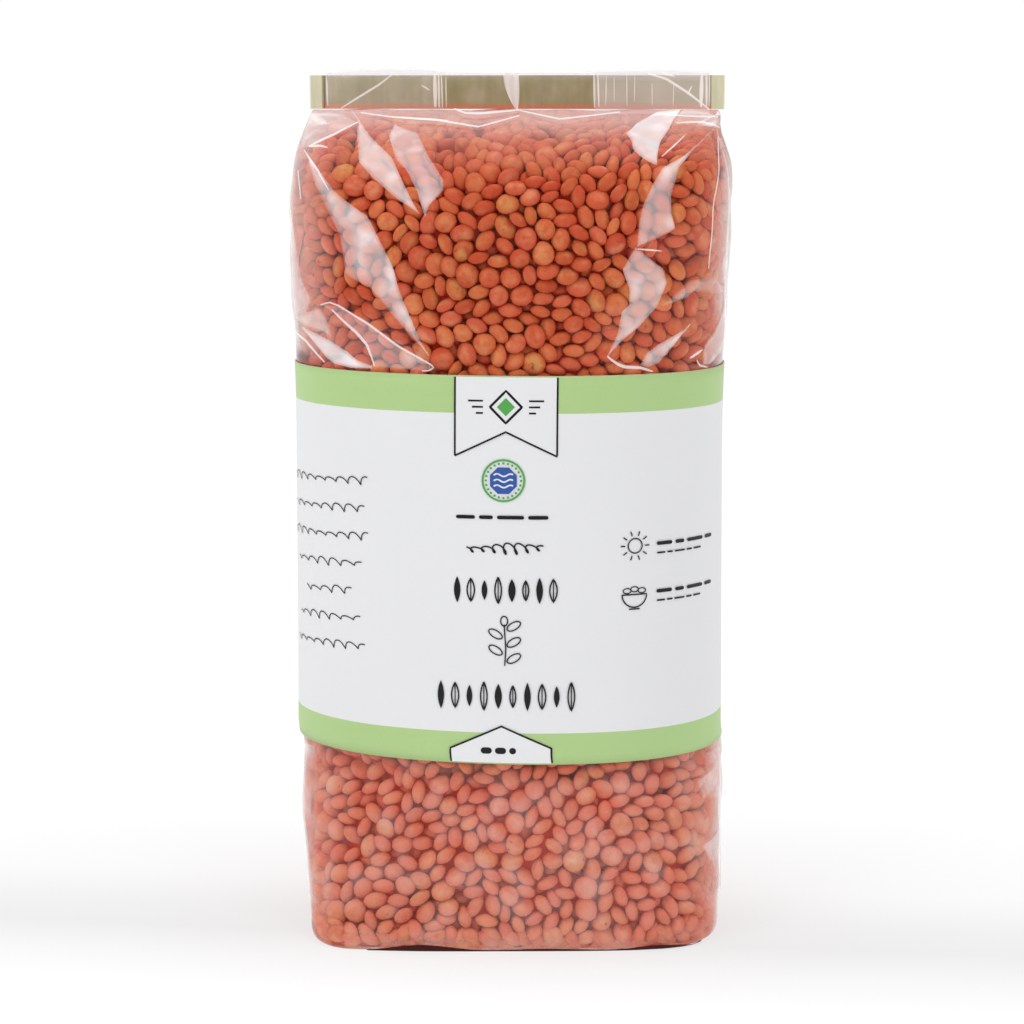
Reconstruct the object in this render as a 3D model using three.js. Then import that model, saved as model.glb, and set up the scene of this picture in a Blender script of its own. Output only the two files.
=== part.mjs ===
// A sealed clear bag of red lentils, with a paper label wrapped round its middle
// and the flattened top of the bag folded over a stiff flat tie.
// Millimetres, +Z up. The origin is the middle of the base, and the front faces -Y.
import * as THREE from "three";

const { clamp, degToRad, lerp, smoothstep } = THREE.MathUtils;

// Driving dimensions
const labelBottom = 44.5;
const labelTop = 135;
const paperThickness = 0.3;
const filmThickness = 0.4;
const clearance = 0.3;
const ridgeHeight = 194; // where the bag's two walls meet under the tie
const ridgeHalfDepth = 0.9;
const tieWidth = 98;
const tieHeight = 7.8;
const tieThickness = 0.7;
const tieEndWidth = 3.2; // each end of the tie is folded back over its front
const tieEndThickness = 1.7;
const headerFilmWidth = 90.6; // the film is folded over the tie between those ends
const lentilDiameter = 5.3;
const lentilProud = 0.62; // how far a lentil's crown stands out of the mean surface
const hollowDepth = 0.5; // how far the gaps between lentils lie under it

// The bag's side view as a loft: half width, half depth and height at each level
const levels = [
  [45.8, 36.6, 0], // edge of the flat base
  [48.4, 37.4, 1.8],
  [49.7, 37.2, 9],
  [51.4, 35.8, 24], // belly under the label
  [51.3, 33.8, labelBottom],
  [51, 33.4, 90],
  [51.1, 33.6, labelTop],
  [52.2, 34, 148],
  [52.9, 34.4, 160], // fullest level, over the label
  [53.5, 33.8, 172],
  [53.4, 31.2, 180.5], // shoulder
  [51.6, 24.5, 186.4],
  [49.6, 13.5, 190.6], // roof of the bag
  [48.4, ridgeHalfDepth, ridgeHeight],
];
// Height against how square the bag's outline is there: 2 is an ellipse
const squareness = [
  [0, 5],
  [24, 3],
  [labelBottom, 2.2],
  [labelTop, 2.2],
  [158, 2.6],
  [174, 3.2],
  [187.6, 4.4],
  [ridgeHeight, 8],
];
// Height against how deep the side gussets fold in there
const gussetDepth = [
  [0, 0],
  [24, 0.8],
  [labelBottom, 0.2],
  [labelTop, 0.2],
  [158, 1.6],
  [174, 4.5],
  [184, 9],
  [190.4, 5],
  [ridgeHeight, 0],
];
// Height against how far the bag is turned about Z there, in degrees: its foot stands a little askew
const twist = [
  [0, 7],
  [34, 0],
];
// Height against how far the bag leans to +X there
const lean = [
  [0, 0.5],
  [22, 0.5],
  [40, 0.2],
  [47, -0.7],
  [110, -0.8],
  [150, -0.6],
  [172, 0.4],
  [183, 1.2],
  [ridgeHeight, 0.9],
];
// Height against how far the right shoulder is tucked in there, under the end of the tie
const rightTuck = [
  [181, 0],
  [190.2, 2.6],
  [ridgeHeight, 1.2],
];
// The foot's corners stick out as ears: the share of the way round to each, and its reach
const ears = [
  [0.09, 1.8],
  [0.41, 1.8],
  [0.59, 4.2],
  [0.91, 1.8],
];
const earSpread = 0.035;
const earHeight = 8;
const edgeLift = 0.3; // how far the base's edge lifts between the ears

// Lentils lie in a honeycomb: columns round the bag and rows up it
const columns = 54;
const corners = 2 * columns;
const lowerRows = 10;
const upperRows = 18;
const zigzag = 0.144 * lentilDiameter;
const placeJitter = 0.4;
const crownJitter = 0.22;

const railSamples = 900;
const outlineSamples = 720;

// Seeded random numbers from 0 to 1, the same on every run
function randomSource(seed) {
  let state = seed;
  return () => {
    state = (state * 1664525 + 1013904223) % 4294967296;
    return state / 4294967296;
  };
}
const random = randomSource(20);
const spread = (reach) => (random() * 2 - 1) * reach;

// Evenly spaced values from one number to another, both included
function evenly(from, to, steps) {
  return Array.from({ length: steps + 1 }, (_, i) => lerp(from, to, i / steps));
}

// Value at a height, read off a list of height and value pairs with soft joins
function readOff(pairs, height) {
  const next = pairs.findIndex(([level]) => level >= height);
  if (next < 0) return pairs[pairs.length - 1][1];
  if (next === 0) return pairs[0][1];
  const [low, before] = pairs[next - 1];
  const [high, after] = pairs[next];
  return lerp(before, after, smoothstep(height, low, high));
}

const rail = new THREE.CatmullRomCurve3(
  levels.map(([halfWidth, halfDepth, height]) => new THREE.Vector3(halfWidth, halfDepth, height)),
  false,
  "centripetal",
).getSpacedPoints(railSamples);
const railStep = rail[0].distanceTo(rail[1]);

// The place on the rail, as a sample number, where it first reaches a height
const railPlaceOf = (height) => rail.findIndex((point) => point.z >= height);

// A superellipse's points by their share of the way round, from +X towards +Y
function outlineOf(halfWidth, halfDepth, power) {
  const bend = (value) => Math.sign(value) * Math.abs(value) ** (2 / power);
  const points = evenly(0, 2 * Math.PI, outlineSamples).map(
    (angle) => new THREE.Vector2(halfWidth * bend(Math.cos(angle)), halfDepth * bend(Math.sin(angle))),
  );
  const reached = [0];
  for (let i = 1; i < points.length; i += 1) {
    reached.push(reached[i - 1] + points[i].distanceTo(points[i - 1]));
  }
  return (share) => {
    const wanted = share * reached[outlineSamples];
    let low = 0;
    let high = outlineSamples;
    while (high - low > 1) {
      const middle = (low + high) >> 1;
      if (reached[middle] <= wanted) low = middle;
      else high = middle;
    }
    const within = (wanted - reached[low]) / (reached[high] - reached[low]);
    return new THREE.Vector2().lerpVectors(points[low], points[high], within);
  };
}

const outlines = new Map();
function outlineAt(sample) {
  if (!outlines.has(sample)) {
    const level = rail[sample];
    outlines.set(sample, outlineOf(level.x, level.y, readOff(squareness, level.z)));
  }
  return outlines.get(sample);
}

// How far the ears reach out at a share of the way round
function earReachAt(share) {
  return ears.reduce((most, [corner, reach]) => {
    const away = (share - corner) / earSpread;
    return Math.max(most, reach * Math.exp(-away * away));
  }, 0);
}

// The bag's mean surface: share is the way round, place the way up the rail
const upward = new THREE.Vector3(0, 0, 1);
function surfacePoint(share, place) {
  const turned = ((share % 1) + 1) % 1;
  const sample = Math.floor(clamp(place, 0, railSamples - 1));
  const within = clamp(place, 0, railSamples) - sample;
  const level = new THREE.Vector3().lerpVectors(rail[sample], rail[sample + 1], within);
  const flat = outlineAt(sample)(turned).lerp(outlineAt(sample + 1)(turned), within);
  const towardsSide = Math.max(0, 1 - Math.abs(flat.y) / level.y);
  const fold = readOff(gussetDepth, level.z) * towardsSide ** 2;
  const tuck = flat.x > 0 ? readOff(rightTuck, level.z) * towardsSide : 0;
  const low = Math.exp(-((level.z / earHeight) ** 2));
  const ear = earReachAt(turned) * low;
  const lift = (edgeLift * low * Math.min(1, level.z)) / (1 + earReachAt(turned));
  return new THREE.Vector3(
    flat.x - Math.sign(flat.x) * (fold + tuck - ear * 0.2),
    flat.y + Math.sign(flat.y) * ear,
    level.z + lift,
  )
    .applyAxisAngle(upward, degToRad(readOff(twist, level.z)))
    .add(new THREE.Vector3(readOff(lean, level.z), 0, 0));
}

// A point that stands a given distance off the mean surface
function offSurface(share, place, lift) {
  const shareStep = 0.003;
  const placeStep = 4;
  const point = surfacePoint(share, place);
  if (lift === 0) return point;
  const around = surfacePoint(share + shareStep, place).sub(surfacePoint(share - shareStep, place));
  const up = surfacePoint(share, place + placeStep).sub(surfacePoint(share, place - placeStep));
  return point.addScaledVector(around.cross(up).normalize(), lift);
}

// Turns a list of points and triangles into an indexed geometry
function geometryOf(points, faces) {
  const geometry = new THREE.BufferGeometry();
  const numbers = points.flatMap((point) => point.toArray());
  geometry.setAttribute("position", new THREE.Float32BufferAttribute(numbers, 3));
  geometry.setIndex(faces.flat());
  geometry.computeVertexNormals();
  return geometry;
}

// The film stretched over its lentils: a honeycomb of crowns above and below a plain band for the label
function filledBagGeometry() {
  const points = [];
  const faces = [];
  const around = evenly(0, corners - 1, corners - 1);
  const addPoint = (share, place, lift) => points.push(offSurface(share, place, lift)) - 1;
  const addPlainRing = (place) => around.map((k) => addPoint(k / corners, place, 0));
  const addHollowRing = (place, row) =>
    around.map((k) => {
      const side = (k + row) % 2 === 0 ? -1 : 1;
      const share = (k + spread(placeJitter * 0.3)) / corners;
      const rise = side * zigzag + spread(placeJitter);
      return addPoint(share, place + rise / railStep, -hollowDepth);
    });
  const joinRings = (lower, upper) => {
    lower.forEach((corner, k) => {
      const next = (k + 1) % corners;
      faces.push([corner, lower[next], upper[next]], [corner, upper[next], upper[k]]);
    });
  };
  const addCrowns = (lower, upper, place, row) => {
    for (let k = row % 2; k < corners; k += 2) {
      const before = (k + corners - 1) % corners;
      const next = (k + 1) % corners;
      const share = (k + spread(placeJitter * 0.4)) / corners;
      const lift = lentilProud + spread(crownJitter);
      const crown = addPoint(share, place + spread(placeJitter) / railStep, lift);
      const rim = [lower[before], lower[k], lower[next], upper[next], upper[k], upper[before]];
      rim.forEach((corner, i) => faces.push([crown, corner, rim[(i + 1) % rim.length]]));
    }
  };
  const addHoneycomb = (below, from, to, rows) =>
    evenly(from, to, rows).reduce((lower, place, row) => {
      const ring = addHollowRing(place, row);
      if (row === 0) joinRings(lower, ring);
      else addCrowns(lower, ring, place - (to - from) / rows / 2, row - 1);
      return ring;
    }, below);
  const closeRing = (ring, facesUp) => {
    for (let k = 0; k < columns; k += 1) {
      const far = [ring[corners - k - 1], ring[(corners - k) % corners]];
      const pair = [
        [ring[k], ring[k + 1], far[0]],
        [ring[k], far[0], far[1]],
      ].filter((face) => new Set(face).size === face.length);
      pair.forEach((face) => faces.push(facesUp ? face : face.reverse()));
    }
  };

  const rim = 3.4 / railStep;
  const bandStart = railPlaceOf(labelBottom - 0.8);
  const bandEnd = railPlaceOf(labelTop + 0.8);
  const base = addPlainRing(0);
  closeRing(base, false);
  const lowerFilm = addHoneycomb(base, rim, bandStart - rim, lowerRows);
  const band = evenly(bandStart, bandEnd, 2).reduce((below, place) => {
    const ring = addPlainRing(place);
    joinRings(below, ring);
    return ring;
  }, lowerFilm);
  const upperFilm = addHoneycomb(band, bandEnd + rim, railSamples - rim, upperRows);
  const ridge = addPlainRing(railSamples);
  joinRings(upperFilm, ridge);
  closeRing(ridge, true);
  return geometryOf(points, faces);
}

// A strip laid on the bag over a grid of shares and places, its inner face lifted by a rule
function stripGeometry(shares, places, thickness, liftAt) {
  const rows = places.length;
  const face = (extra) =>
    shares.flatMap((share) => places.map((place) => offSurface(share, place, liftAt(share, place) + extra)));
  const points = [...face(0), ...face(thickness)];
  const count = points.length / 2;
  const faces = [];
  const addQuad = (a, b, c, d) => faces.push([a, b, c], [a, c, d]);
  const addWall = (a, b) => addQuad(a, b, b + count, a + count);
  for (let i = 0; i + 1 < shares.length; i += 1) {
    for (let j = 0; j + 1 < rows; j += 1) {
      const a = i * rows + j;
      addQuad(a + count, a + count + rows, a + count + rows + 1, a + count + 1);
      addQuad(a, a + 1, a + rows + 1, a + rows);
    }
    addWall(i * rows, (i + 1) * rows);
    addWall((i + 2) * rows - 1, (i + 1) * rows - 1);
  }
  const last = (shares.length - 1) * rows;
  for (let j = 0; j + 1 < rows; j += 1) {
    addWall(j + 1, j);
    addWall(last + j, last + j + 1);
  }
  return geometryOf(points, faces);
}

// The back seam: the fin where the film's edges are welded, laid flat along the middle of the back
const seamShare = 0.237;
const seamHalfShare = 0.013;
function backSeamGeometry() {
  const coveredFrom = labelBottom - 2;
  const coveredTo = labelTop + 2;
  const heights = [
    ...evenly(9, coveredFrom - 2, 5),
    ...evenly(coveredFrom + 1, coveredTo - 1, 3),
    ...evenly(coveredTo + 2, 188, 9),
  ];
  const proud = lentilProud + crownJitter + clearance;
  const liftAt = (_, place) => {
    const height = rail[place].z;
    return height > coveredFrom && height < coveredTo ? clearance : proud;
  };
  const shares = evenly(seamShare - seamHalfShare, seamShare + seamHalfShare, 2);
  return stripGeometry(shares, heights.map(railPlaceOf), filmThickness, liftAt);
}

// The label: one paper strip round the bag, over the seam, its outer end lapping over its inner end
function labelGeometry() {
  const lapStart = 0.305;
  const lapShare = 0.04;
  const seamRise = filmThickness + clearance;
  const lapRise = paperThickness + clearance;
  const liftAt = (share) => {
    const fromSeam = Math.abs(share - seamShare - 1) / seamHalfShare;
    const overSeam = seamRise * (1 - smoothstep(fromSeam, 1.4, 3.2));
    const overLap = lapRise * smoothstep(share - lapStart - 1, -0.012, -0.002);
    return clearance + overSeam + overLap;
  };
  const steps = Math.round(corners * (1 + lapShare));
  const shares = evenly(lapStart, lapStart + 1 + lapShare, steps);
  const places = evenly(railPlaceOf(labelBottom), railPlaceOf(labelTop), 2);
  return stripGeometry(shares, places, paperThickness, liftAt);
}

// The header stands on the ridge, a little to +X of the middle, and is slightly bowed along X
const headerBase = ridgeHeight + clearance;
const headerShift = 0.9;
const bowDepth = 0.5;
const bowSteps = 16;
function bow(geometry) {
  const position = geometry.getAttribute("position");
  for (let i = 0; i < position.count; i += 1) {
    const turn = (position.getX(i) / tieWidth) * 8.2 + 0.8;
    position.setX(i, position.getX(i) + headerShift);
    position.setY(i, position.getY(i) + bowDepth * Math.sin(turn));
  }
  geometry.computeVertexNormals();
  return geometry;
}

const shapeOf = (outline) => new THREE.Shape(outline.map(([x, y]) => new THREE.Vector2(x, y)));

// The tie: a flat bar whose two ends are folded back over its front
function tieGeometry() {
  const half = tieThickness / 2;
  const front = half - tieEndThickness;
  const end = tieWidth / 2;
  const fold = end - tieEndWidth;
  const ease = 0.25;
  const outline = [
    [-end, half - ease],
    [-end, front + ease],
    [-end + ease, front],
    [-fold - ease, front],
    [-fold, front + ease],
    ...evenly(-fold, fold, bowSteps).map((x) => [x, -half]),
    [fold, front + ease],
    [fold + ease, front],
    [end - ease, front],
    [end, front + ease],
    [end, half - ease],
    ...evenly(end - ease, ease - end, bowSteps).map((x) => [x, half]),
  ];
  const settings = { depth: tieHeight, bevelEnabled: false };
  return bow(new THREE.ExtrudeGeometry(shapeOf(outline), settings).translate(0, 0, headerBase));
}

// The film over the tie: up its back, round over its top edge and down its front
const headerTop = headerBase + tieHeight + clearance;
const headerInside = tieThickness / 2 + clearance;
function headerFilmGeometry() {
  const outside = headerInside + filmThickness;
  const flatness = 0.5;
  const arc = (radius, from, to) =>
    evenly(from, to, 6).map((angle) => [
      radius * Math.cos(angle),
      headerTop + radius * flatness * Math.sin(angle),
    ]);
  const section = [
    [outside, headerBase],
    ...arc(outside, 0, Math.PI),
    [-outside, headerBase],
    [-headerInside, headerBase],
    ...arc(headerInside, Math.PI, 0),
    [headerInside, headerBase],
  ];
  const settings = { depth: headerFilmWidth, steps: bowSteps, bevelEnabled: false };
  const geometry = new THREE.ExtrudeGeometry(shapeOf(section), settings);
  geometry.rotateX(Math.PI / 2).rotateZ(Math.PI / 2).translate(-headerFilmWidth / 2, 0, 0);
  return bow(geometry);
}

// The end of the back seam, which the fold brings round to the front of the header as a small curl
function seamCurlGeometry() {
  const back = -(headerInside + filmThickness + clearance);
  const curlWidth = 3;
  const curlRise = 0.9;
  const points = evenly(0, 1, 6).flatMap((share) => {
    const z = lerp(headerTop, headerBase, share);
    const left = 1.1 * share ** 2 - 0.5;
    const right = left + curlWidth * (1 - 0.8 * share ** 2.2);
    const front = back - filmThickness;
    return [
      new THREE.Vector3(left, back, z),
      new THREE.Vector3(right, back, z),
      new THREE.Vector3(right, front, z),
      new THREE.Vector3(left, front - curlRise * (1 - share) ** 0.7, z),
    ];
  });
  const last = points.length - 4;
  const faces = [
    [0, 2, 1],
    [0, 3, 2],
    [last, last + 1, last + 2],
    [last, last + 2, last + 3],
  ];
  for (let row = 0; row < last; row += 4) {
    for (let i = 0; i < 4; i += 1) {
      const a = row + i;
      const b = row + ((i + 1) % 4);
      faces.push([a, b, b + 4], [a, b + 4, a + 4]);
    }
  }
  return bow(geometryOf(points, faces));
}

const finishes = {
  lentils: { color: 0xd9805c, roughness: 0.42, metalness: 0 },
  film: { color: 0xf1e6e0, roughness: 0.12, metalness: 0 },
  paper: { color: 0xe9eaec, roughness: 0.55, metalness: 0 },
  tie: { color: 0xa39a72, roughness: 0.35, metalness: 0.6 },
};

function addPiece(group, name, geometry, finish) {
  const mesh = new THREE.Mesh(geometry, new THREE.MeshStandardMaterial(finishes[finish]));
  mesh.name = name;
  group.add(mesh);
}

const bag = new THREE.Group();
addPiece(bag, "filled_bag", filledBagGeometry(), "lentils");
addPiece(bag, "back_seam", backSeamGeometry(), "film");
addPiece(bag, "label", labelGeometry(), "paper");
addPiece(bag, "tie_strip", tieGeometry(), "tie");
addPiece(bag, "header_film", headerFilmGeometry(), "film");
addPiece(bag, "seam_curl", seamCurlGeometry(), "film");

export default bag;
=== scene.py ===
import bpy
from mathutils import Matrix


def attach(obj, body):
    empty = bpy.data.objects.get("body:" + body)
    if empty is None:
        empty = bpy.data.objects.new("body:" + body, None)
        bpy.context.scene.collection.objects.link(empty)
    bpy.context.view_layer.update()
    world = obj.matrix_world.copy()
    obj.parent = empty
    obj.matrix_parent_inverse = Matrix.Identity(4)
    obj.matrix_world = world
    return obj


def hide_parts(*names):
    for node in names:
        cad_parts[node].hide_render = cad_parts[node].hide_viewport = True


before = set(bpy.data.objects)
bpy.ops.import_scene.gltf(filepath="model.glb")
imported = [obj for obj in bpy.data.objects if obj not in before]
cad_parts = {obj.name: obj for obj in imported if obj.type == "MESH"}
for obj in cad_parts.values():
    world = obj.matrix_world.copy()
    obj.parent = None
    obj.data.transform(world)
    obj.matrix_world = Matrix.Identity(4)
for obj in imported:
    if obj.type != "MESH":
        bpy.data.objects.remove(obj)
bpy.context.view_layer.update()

import math

import bpy
import numpy as np
from mathutils import Vector

# Shape of the bag, in millimetres: half width, half depth and height of each level
bagLevels = [
    (45.8, 36.6, 0), (48.4, 37.4, 1.8), (49.7, 37.2, 9), (51.4, 35.8, 24), (51.3, 33.8, 44.5),
    (51, 33.4, 90), (51.1, 33.6, 135), (52.2, 34, 148), (52.9, 34.4, 160), (53.5, 33.8, 172),
    (53.4, 31.2, 180.5), (51.6, 24.5, 186.4), (49.6, 13.5, 190.6), (48.4, 0.9, 194),
]
# The heap of lentils inside it: the same, but its top is lower and rounder
heapLevels = bagLevels[:9] + [
    (53.4, 33.7, 171.6), (53.1, 31.1, 180.1), (51.2, 24.5, 186.1), (49, 13.6, 190.2), (47, 4, 192.9),
]
squareness = [(0, 5), (24, 3), (44.5, 2.2), (135, 2.2), (158, 2.6), (174, 3.2), (187.6, 4.4), (194, 8)]
gussetDepth = [(0, 0), (24, 0.8), (44.5, 0.2), (135, 0.2), (158, 1.6), (174, 4.5), (184, 9), (190.4, 5),
               (194, 0)]
twist = [(0, 7), (34, 0)]
lean = [(0, 0.5), (22, 0.5), (40, 0.2), (47, -0.7), (110, -0.8), (150, -0.6), (172, 0.4), (183, 1.2),
        (194, 0.9)]
bagHalf = 52.0
rightTuck = [(181, 0), (190.2, 2.6), (194, 1.2)]
footEars = {"places": [(0.09, 1.8), (0.41, 1.8), (0.59, 4.2), (0.91, 1.8)], "spread": 0.035, "height": 8,
            "lift": 0.3}
railSamples = 900
shareSamples = 720
printCentre = 0.76174  # share of the way round to the middle of the print
random = np.random.default_rng(11)


# The bag's surface
def readOff(pairs, height):
    heights, values = np.array(pairs, float).T
    height = np.asarray(height, float)
    after = np.clip(np.searchsorted(heights, height), 1, len(heights) - 1)
    share = np.clip((height - heights[after - 1]) / (heights[after] - heights[after - 1]), 0, 1)
    share = share * share * (3 - 2 * share)
    return values[after - 1] + (values[after] - values[after - 1]) * share


def easeStep(value, low, high):
    share = np.clip((np.asarray(value, float) - low) / (high - low), 0, 1)
    return share * share * (3 - 2 * share)


# Points of a centripetal Catmull-Rom curve
def curvePoints(points, places):
    ends = np.vstack([2 * points[0] - points[1], points, 2 * points[-1] - points[-2]])
    spans = len(points) - 1
    spot = places * spans
    start = np.minimum(spot.astype(int), spans - 1)
    t = (spot - start)[:, None]
    p = [ends[start + k] for k in range(4)]
    d = [np.linalg.norm(p[k + 1] - p[k], axis=1)[:, None] ** 0.5 for k in range(3)]
    slopeA = ((p[1] - p[0]) / d[0] - (p[2] - p[0]) / (d[0] + d[1]) + (p[2] - p[1]) / d[1]) * d[1]
    slopeB = ((p[2] - p[1]) / d[1] - (p[3] - p[1]) / (d[1] + d[2]) + (p[3] - p[2]) / d[2]) * d[1]
    rise = p[2] - p[1]
    return p[1] + slopeA * t + (3 * rise - 2 * slopeA - slopeB) * t**2 + (slopeA + slopeB - 2 * rise) * t**3


# Length along a path, up to each of its points
def lengthsAlong(path):
    return np.concatenate([[0], np.cumsum(np.linalg.norm(np.diff(path, axis=0), axis=1))])


def railOf(levels):
    points = np.array(levels, float)
    steps = np.linspace(0, 1, 201)
    rough = curvePoints(points, steps)
    reached = lengthsAlong(rough)
    return curvePoints(points, np.interp(np.linspace(0, reached[-1], railSamples + 1), reached, steps))


# A table of surface points: rows go up the rail, columns the way round from +X
def surfaceOf(levels, earShare):
    rail = railOf(levels)
    h = rail[:, 2:3]
    angles = np.linspace(0, 2 * math.pi, shareSamples + 1)
    shares = np.linspace(0, 1, shareSamples + 1)
    flat = np.zeros((railSamples + 1, shareSamples + 1, 2))
    for row, (wide, deep, height) in enumerate(rail):
        power = 2 / float(readOff(squareness, height))
        x = wide * np.sign(np.cos(angles)) * abs(np.cos(angles)) ** power
        y = deep * np.sign(np.sin(angles)) * abs(np.sin(angles)) ** power
        reached = np.concatenate([[0], np.cumsum(np.hypot(np.diff(x), np.diff(y)))])
        flat[row, :, 0] = np.interp(shares * reached[-1], reached, x)
        flat[row, :, 1] = np.interp(shares * reached[-1], reached, y)
    x, y = flat[:, :, 0], flat[:, :, 1]
    sideways = np.maximum(0, 1 - abs(y) / rail[:, 1:2])
    fold = readOff(gussetDepth, h) * sideways**2 + np.where(x > 0, readOff(rightTuck, h) * sideways, 0)
    reach = np.zeros(len(shares))
    for corner, most in footEars["places"]:
        reach = np.maximum(reach, most * earShare * np.exp(-(((shares - corner) / footEars["spread"]) ** 2)))
    low = np.exp(-((h / footEars["height"]) ** 2))
    ear = reach * low
    x = x - np.sign(x) * (fold - ear * 0.2)
    y = y + np.sign(y) * ear
    turn = np.radians(readOff(twist, h))
    table = np.zeros((railSamples + 1, shareSamples + 1, 3))
    table[:, :, 0] = x * np.cos(turn) - y * np.sin(turn) + readOff(lean, h)
    table[:, :, 1] = x * np.sin(turn) + y * np.cos(turn)
    table[:, :, 2] = h + footEars["lift"] * low * np.minimum(1, h) / (1 + reach)
    around = np.roll(table[:, :-1], -2, axis=1) - np.roll(table[:, :-1], 2, axis=1)
    around = np.concatenate([around, around[:, :1]], axis=1)
    upward = np.gradient(table, axis=0)
    normal = np.cross(around, upward)
    normal /= np.linalg.norm(normal, axis=2, keepdims=True) + 1e-9
    girth = np.linalg.norm(np.diff(table, axis=1), axis=2).sum(1)
    step = float(np.linalg.norm(rail[1] - rail[0]))
    return {"points": table, "normals": normal, "rail": rail, "girth": girth, "step": step}


def lookUp(grid, share, place):
    column = (np.asarray(share, float) % 1) * shareSamples
    row = np.clip(np.asarray(place, float), 0, railSamples - 1e-6)
    c, r = column.astype(int), row.astype(int)
    u, v = (column - c)[..., None], (row - r)[..., None]
    low = grid[r, c] * (1 - u) + grid[r, c + 1] * u
    high = grid[r + 1, c] * (1 - u) + grid[r + 1, c + 1] * u
    return low * (1 - v) + high * v


def offSurface(surface, share, place, lift):
    lift = np.asarray(lift, float)[..., None]
    return lookUp(surface["points"], share, place) + lookUp(surface["normals"], share, place) * lift


bag = surfaceOf(bagLevels, 1.0)
heap = surfaceOf(heapLevels, 0.75)
print("stage: surfaces")


def placeOf(surface, height):
    return np.interp(height, surface["rail"][:, 2], np.arange(railSamples + 1))


def girthAt(surface, place):
    return np.interp(place, np.arange(railSamples + 1), surface["girth"])


# A spot on the bag: millimetres round from the print's middle, and the height
def spotOn(along, height, lift):
    place = placeOf(bag, height)
    return offSurface(bag, printCentre + np.asarray(along, float) / girthAt(bag, place), place, lift)


# How far out to a side points lie: 0 over the middle, 1 at the bag's half width
def outToSide(points, height):
    return abs(points[..., 0] - readOff(lean, height)) / bagHalf


# Meshes and materials
def addPiece(name, points, faces, materials, slot, smooth=True, values=None, chosen=None):
    faces = np.asarray(faces)
    sides = faces.shape[1]
    mesh = bpy.data.meshes.new(name)
    mesh.vertices.add(len(points))
    mesh.vertices.foreach_set("co", (np.asarray(points, float) * 0.001).astype(np.float32).ravel())
    mesh.loops.add(faces.size)
    mesh.loops.foreach_set("vertex_index", faces.astype(np.int32).ravel())
    mesh.polygons.add(len(faces))
    mesh.polygons.foreach_set("loop_start", np.arange(len(faces), dtype=np.int32) * sides)
    mesh.polygons.foreach_set("use_smooth", np.full(len(faces), smooth))
    for material in materials:
        mesh.materials.append(material)
    if chosen is not None:
        mesh.polygons.foreach_set("material_index", np.asarray(chosen, np.int32))
    mesh.update(calc_edges=True)
    for key, numbers in (values or {}).items():
        numbers = np.asarray(numbers, np.float32)
        kind, field = ("FLOAT", "value") if numbers.ndim == 1 else ("FLOAT_VECTOR", "vector")
        mesh.attributes.new(key, kind, "POINT").data.foreach_set(field, numbers.ravel())
    piece = bpy.data.objects.new(name, mesh)
    bpy.context.scene.collection.objects.link(piece)
    if slot:
        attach(piece, "root")
    return piece


def gridFaces(rows, columns, closed=False):
    i, j = np.meshgrid(np.arange(rows - 1), np.arange(columns if closed else columns - 1), indexing="ij")
    a = i * columns + j
    b = i * columns + (j + 1) % columns
    return np.stack([a, b, b + columns, a + columns], -1).reshape(-1, 4)


def halved(quads):
    return np.vstack([quads[:, [0, 1, 2]], quads[:, [0, 2, 3]]])


def newNode(tree, kind, settings=None, **inputs):
    node = tree.nodes.new("ShaderNode" + kind)
    for key, value in (settings or {}).items():
        setattr(node, key, value)
    for key, value in inputs.items():
        numbered = key[0] == "i" and key[1:].isdigit()
        socket = node.inputs[int(key[1:])] if numbered else node.inputs[key.replace("_", " ")]
        if isinstance(value, bpy.types.NodeSocket):
            tree.links.new(value, socket)
        else:
            socket.default_value = value
    return node


def newMaterial(name):
    material = bpy.data.materials.new(name)
    material.use_nodes = True
    material.node_tree.nodes.clear()
    return material, material.node_tree


def newGroup(name, inputs, outputs):
    tree = bpy.data.node_groups.new(name, "ShaderNodeTree")
    for key, kind, value in inputs:
        socket = tree.interface.new_socket(key, in_out="INPUT", socket_type="NodeSocket" + kind)
        if value is not None:
            socket.default_value = value
    for key, kind in outputs:
        tree.interface.new_socket(key, in_out="OUTPUT", socket_type="NodeSocket" + kind)
    return tree, tree.nodes.new("NodeGroupInput").outputs, tree.nodes.new("NodeGroupOutput").inputs


def opaque(colour):
    return (*colour, 1.0)


def mathOf(tree, operation, *values, clamp=False):
    given = {f"i{k}": value for k, value in enumerate(values)}
    return newNode(tree, "Math", {"operation": operation, "use_clamp": clamp}, **given).outputs[0]


def mapped(tree, value, low, high, toLow=0.0, toHigh=1.0):
    return newNode(tree, "MapRange", i0=value, i1=low, i2=high, i3=toLow, i4=toHigh).outputs[0]


def mixedColour(tree, factor, first, second):
    return newNode(tree, "Mix", {"data_type": "RGBA"}, i0=factor, i6=first, i7=second).outputs[2]


def mixedShader(tree, factor, first, second):
    return newNode(tree, "MixShader", i0=factor, i1=first.outputs[0], i2=second.outputs[0])


def noiseOf(tree, place, scale, detail):
    return newNode(tree, "TexNoise", Vector=place, Scale=scale, Detail=detail).outputs["Fac"]


def readMesh(tree, name, output="Fac"):
    return newNode(tree, "Attribute", {"attribute_name": name}).outputs[output]


def objectPlace(tree):
    return newNode(tree, "TexCoord").outputs["Object"]


def axisOf(tree, vector, axis):
    return newNode(tree, "SeparateXYZ", Vector=vector).outputs[axis]


grainDepth = 0.0002
creaseLook = {"depth": 0.0012, "turn": (0.3, 0.5, 0.4), "stretch": (1.0, 1.0, 0.35), "broad": 55.0,
              "fine": 420.0, "fineShare": 0.25}


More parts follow.
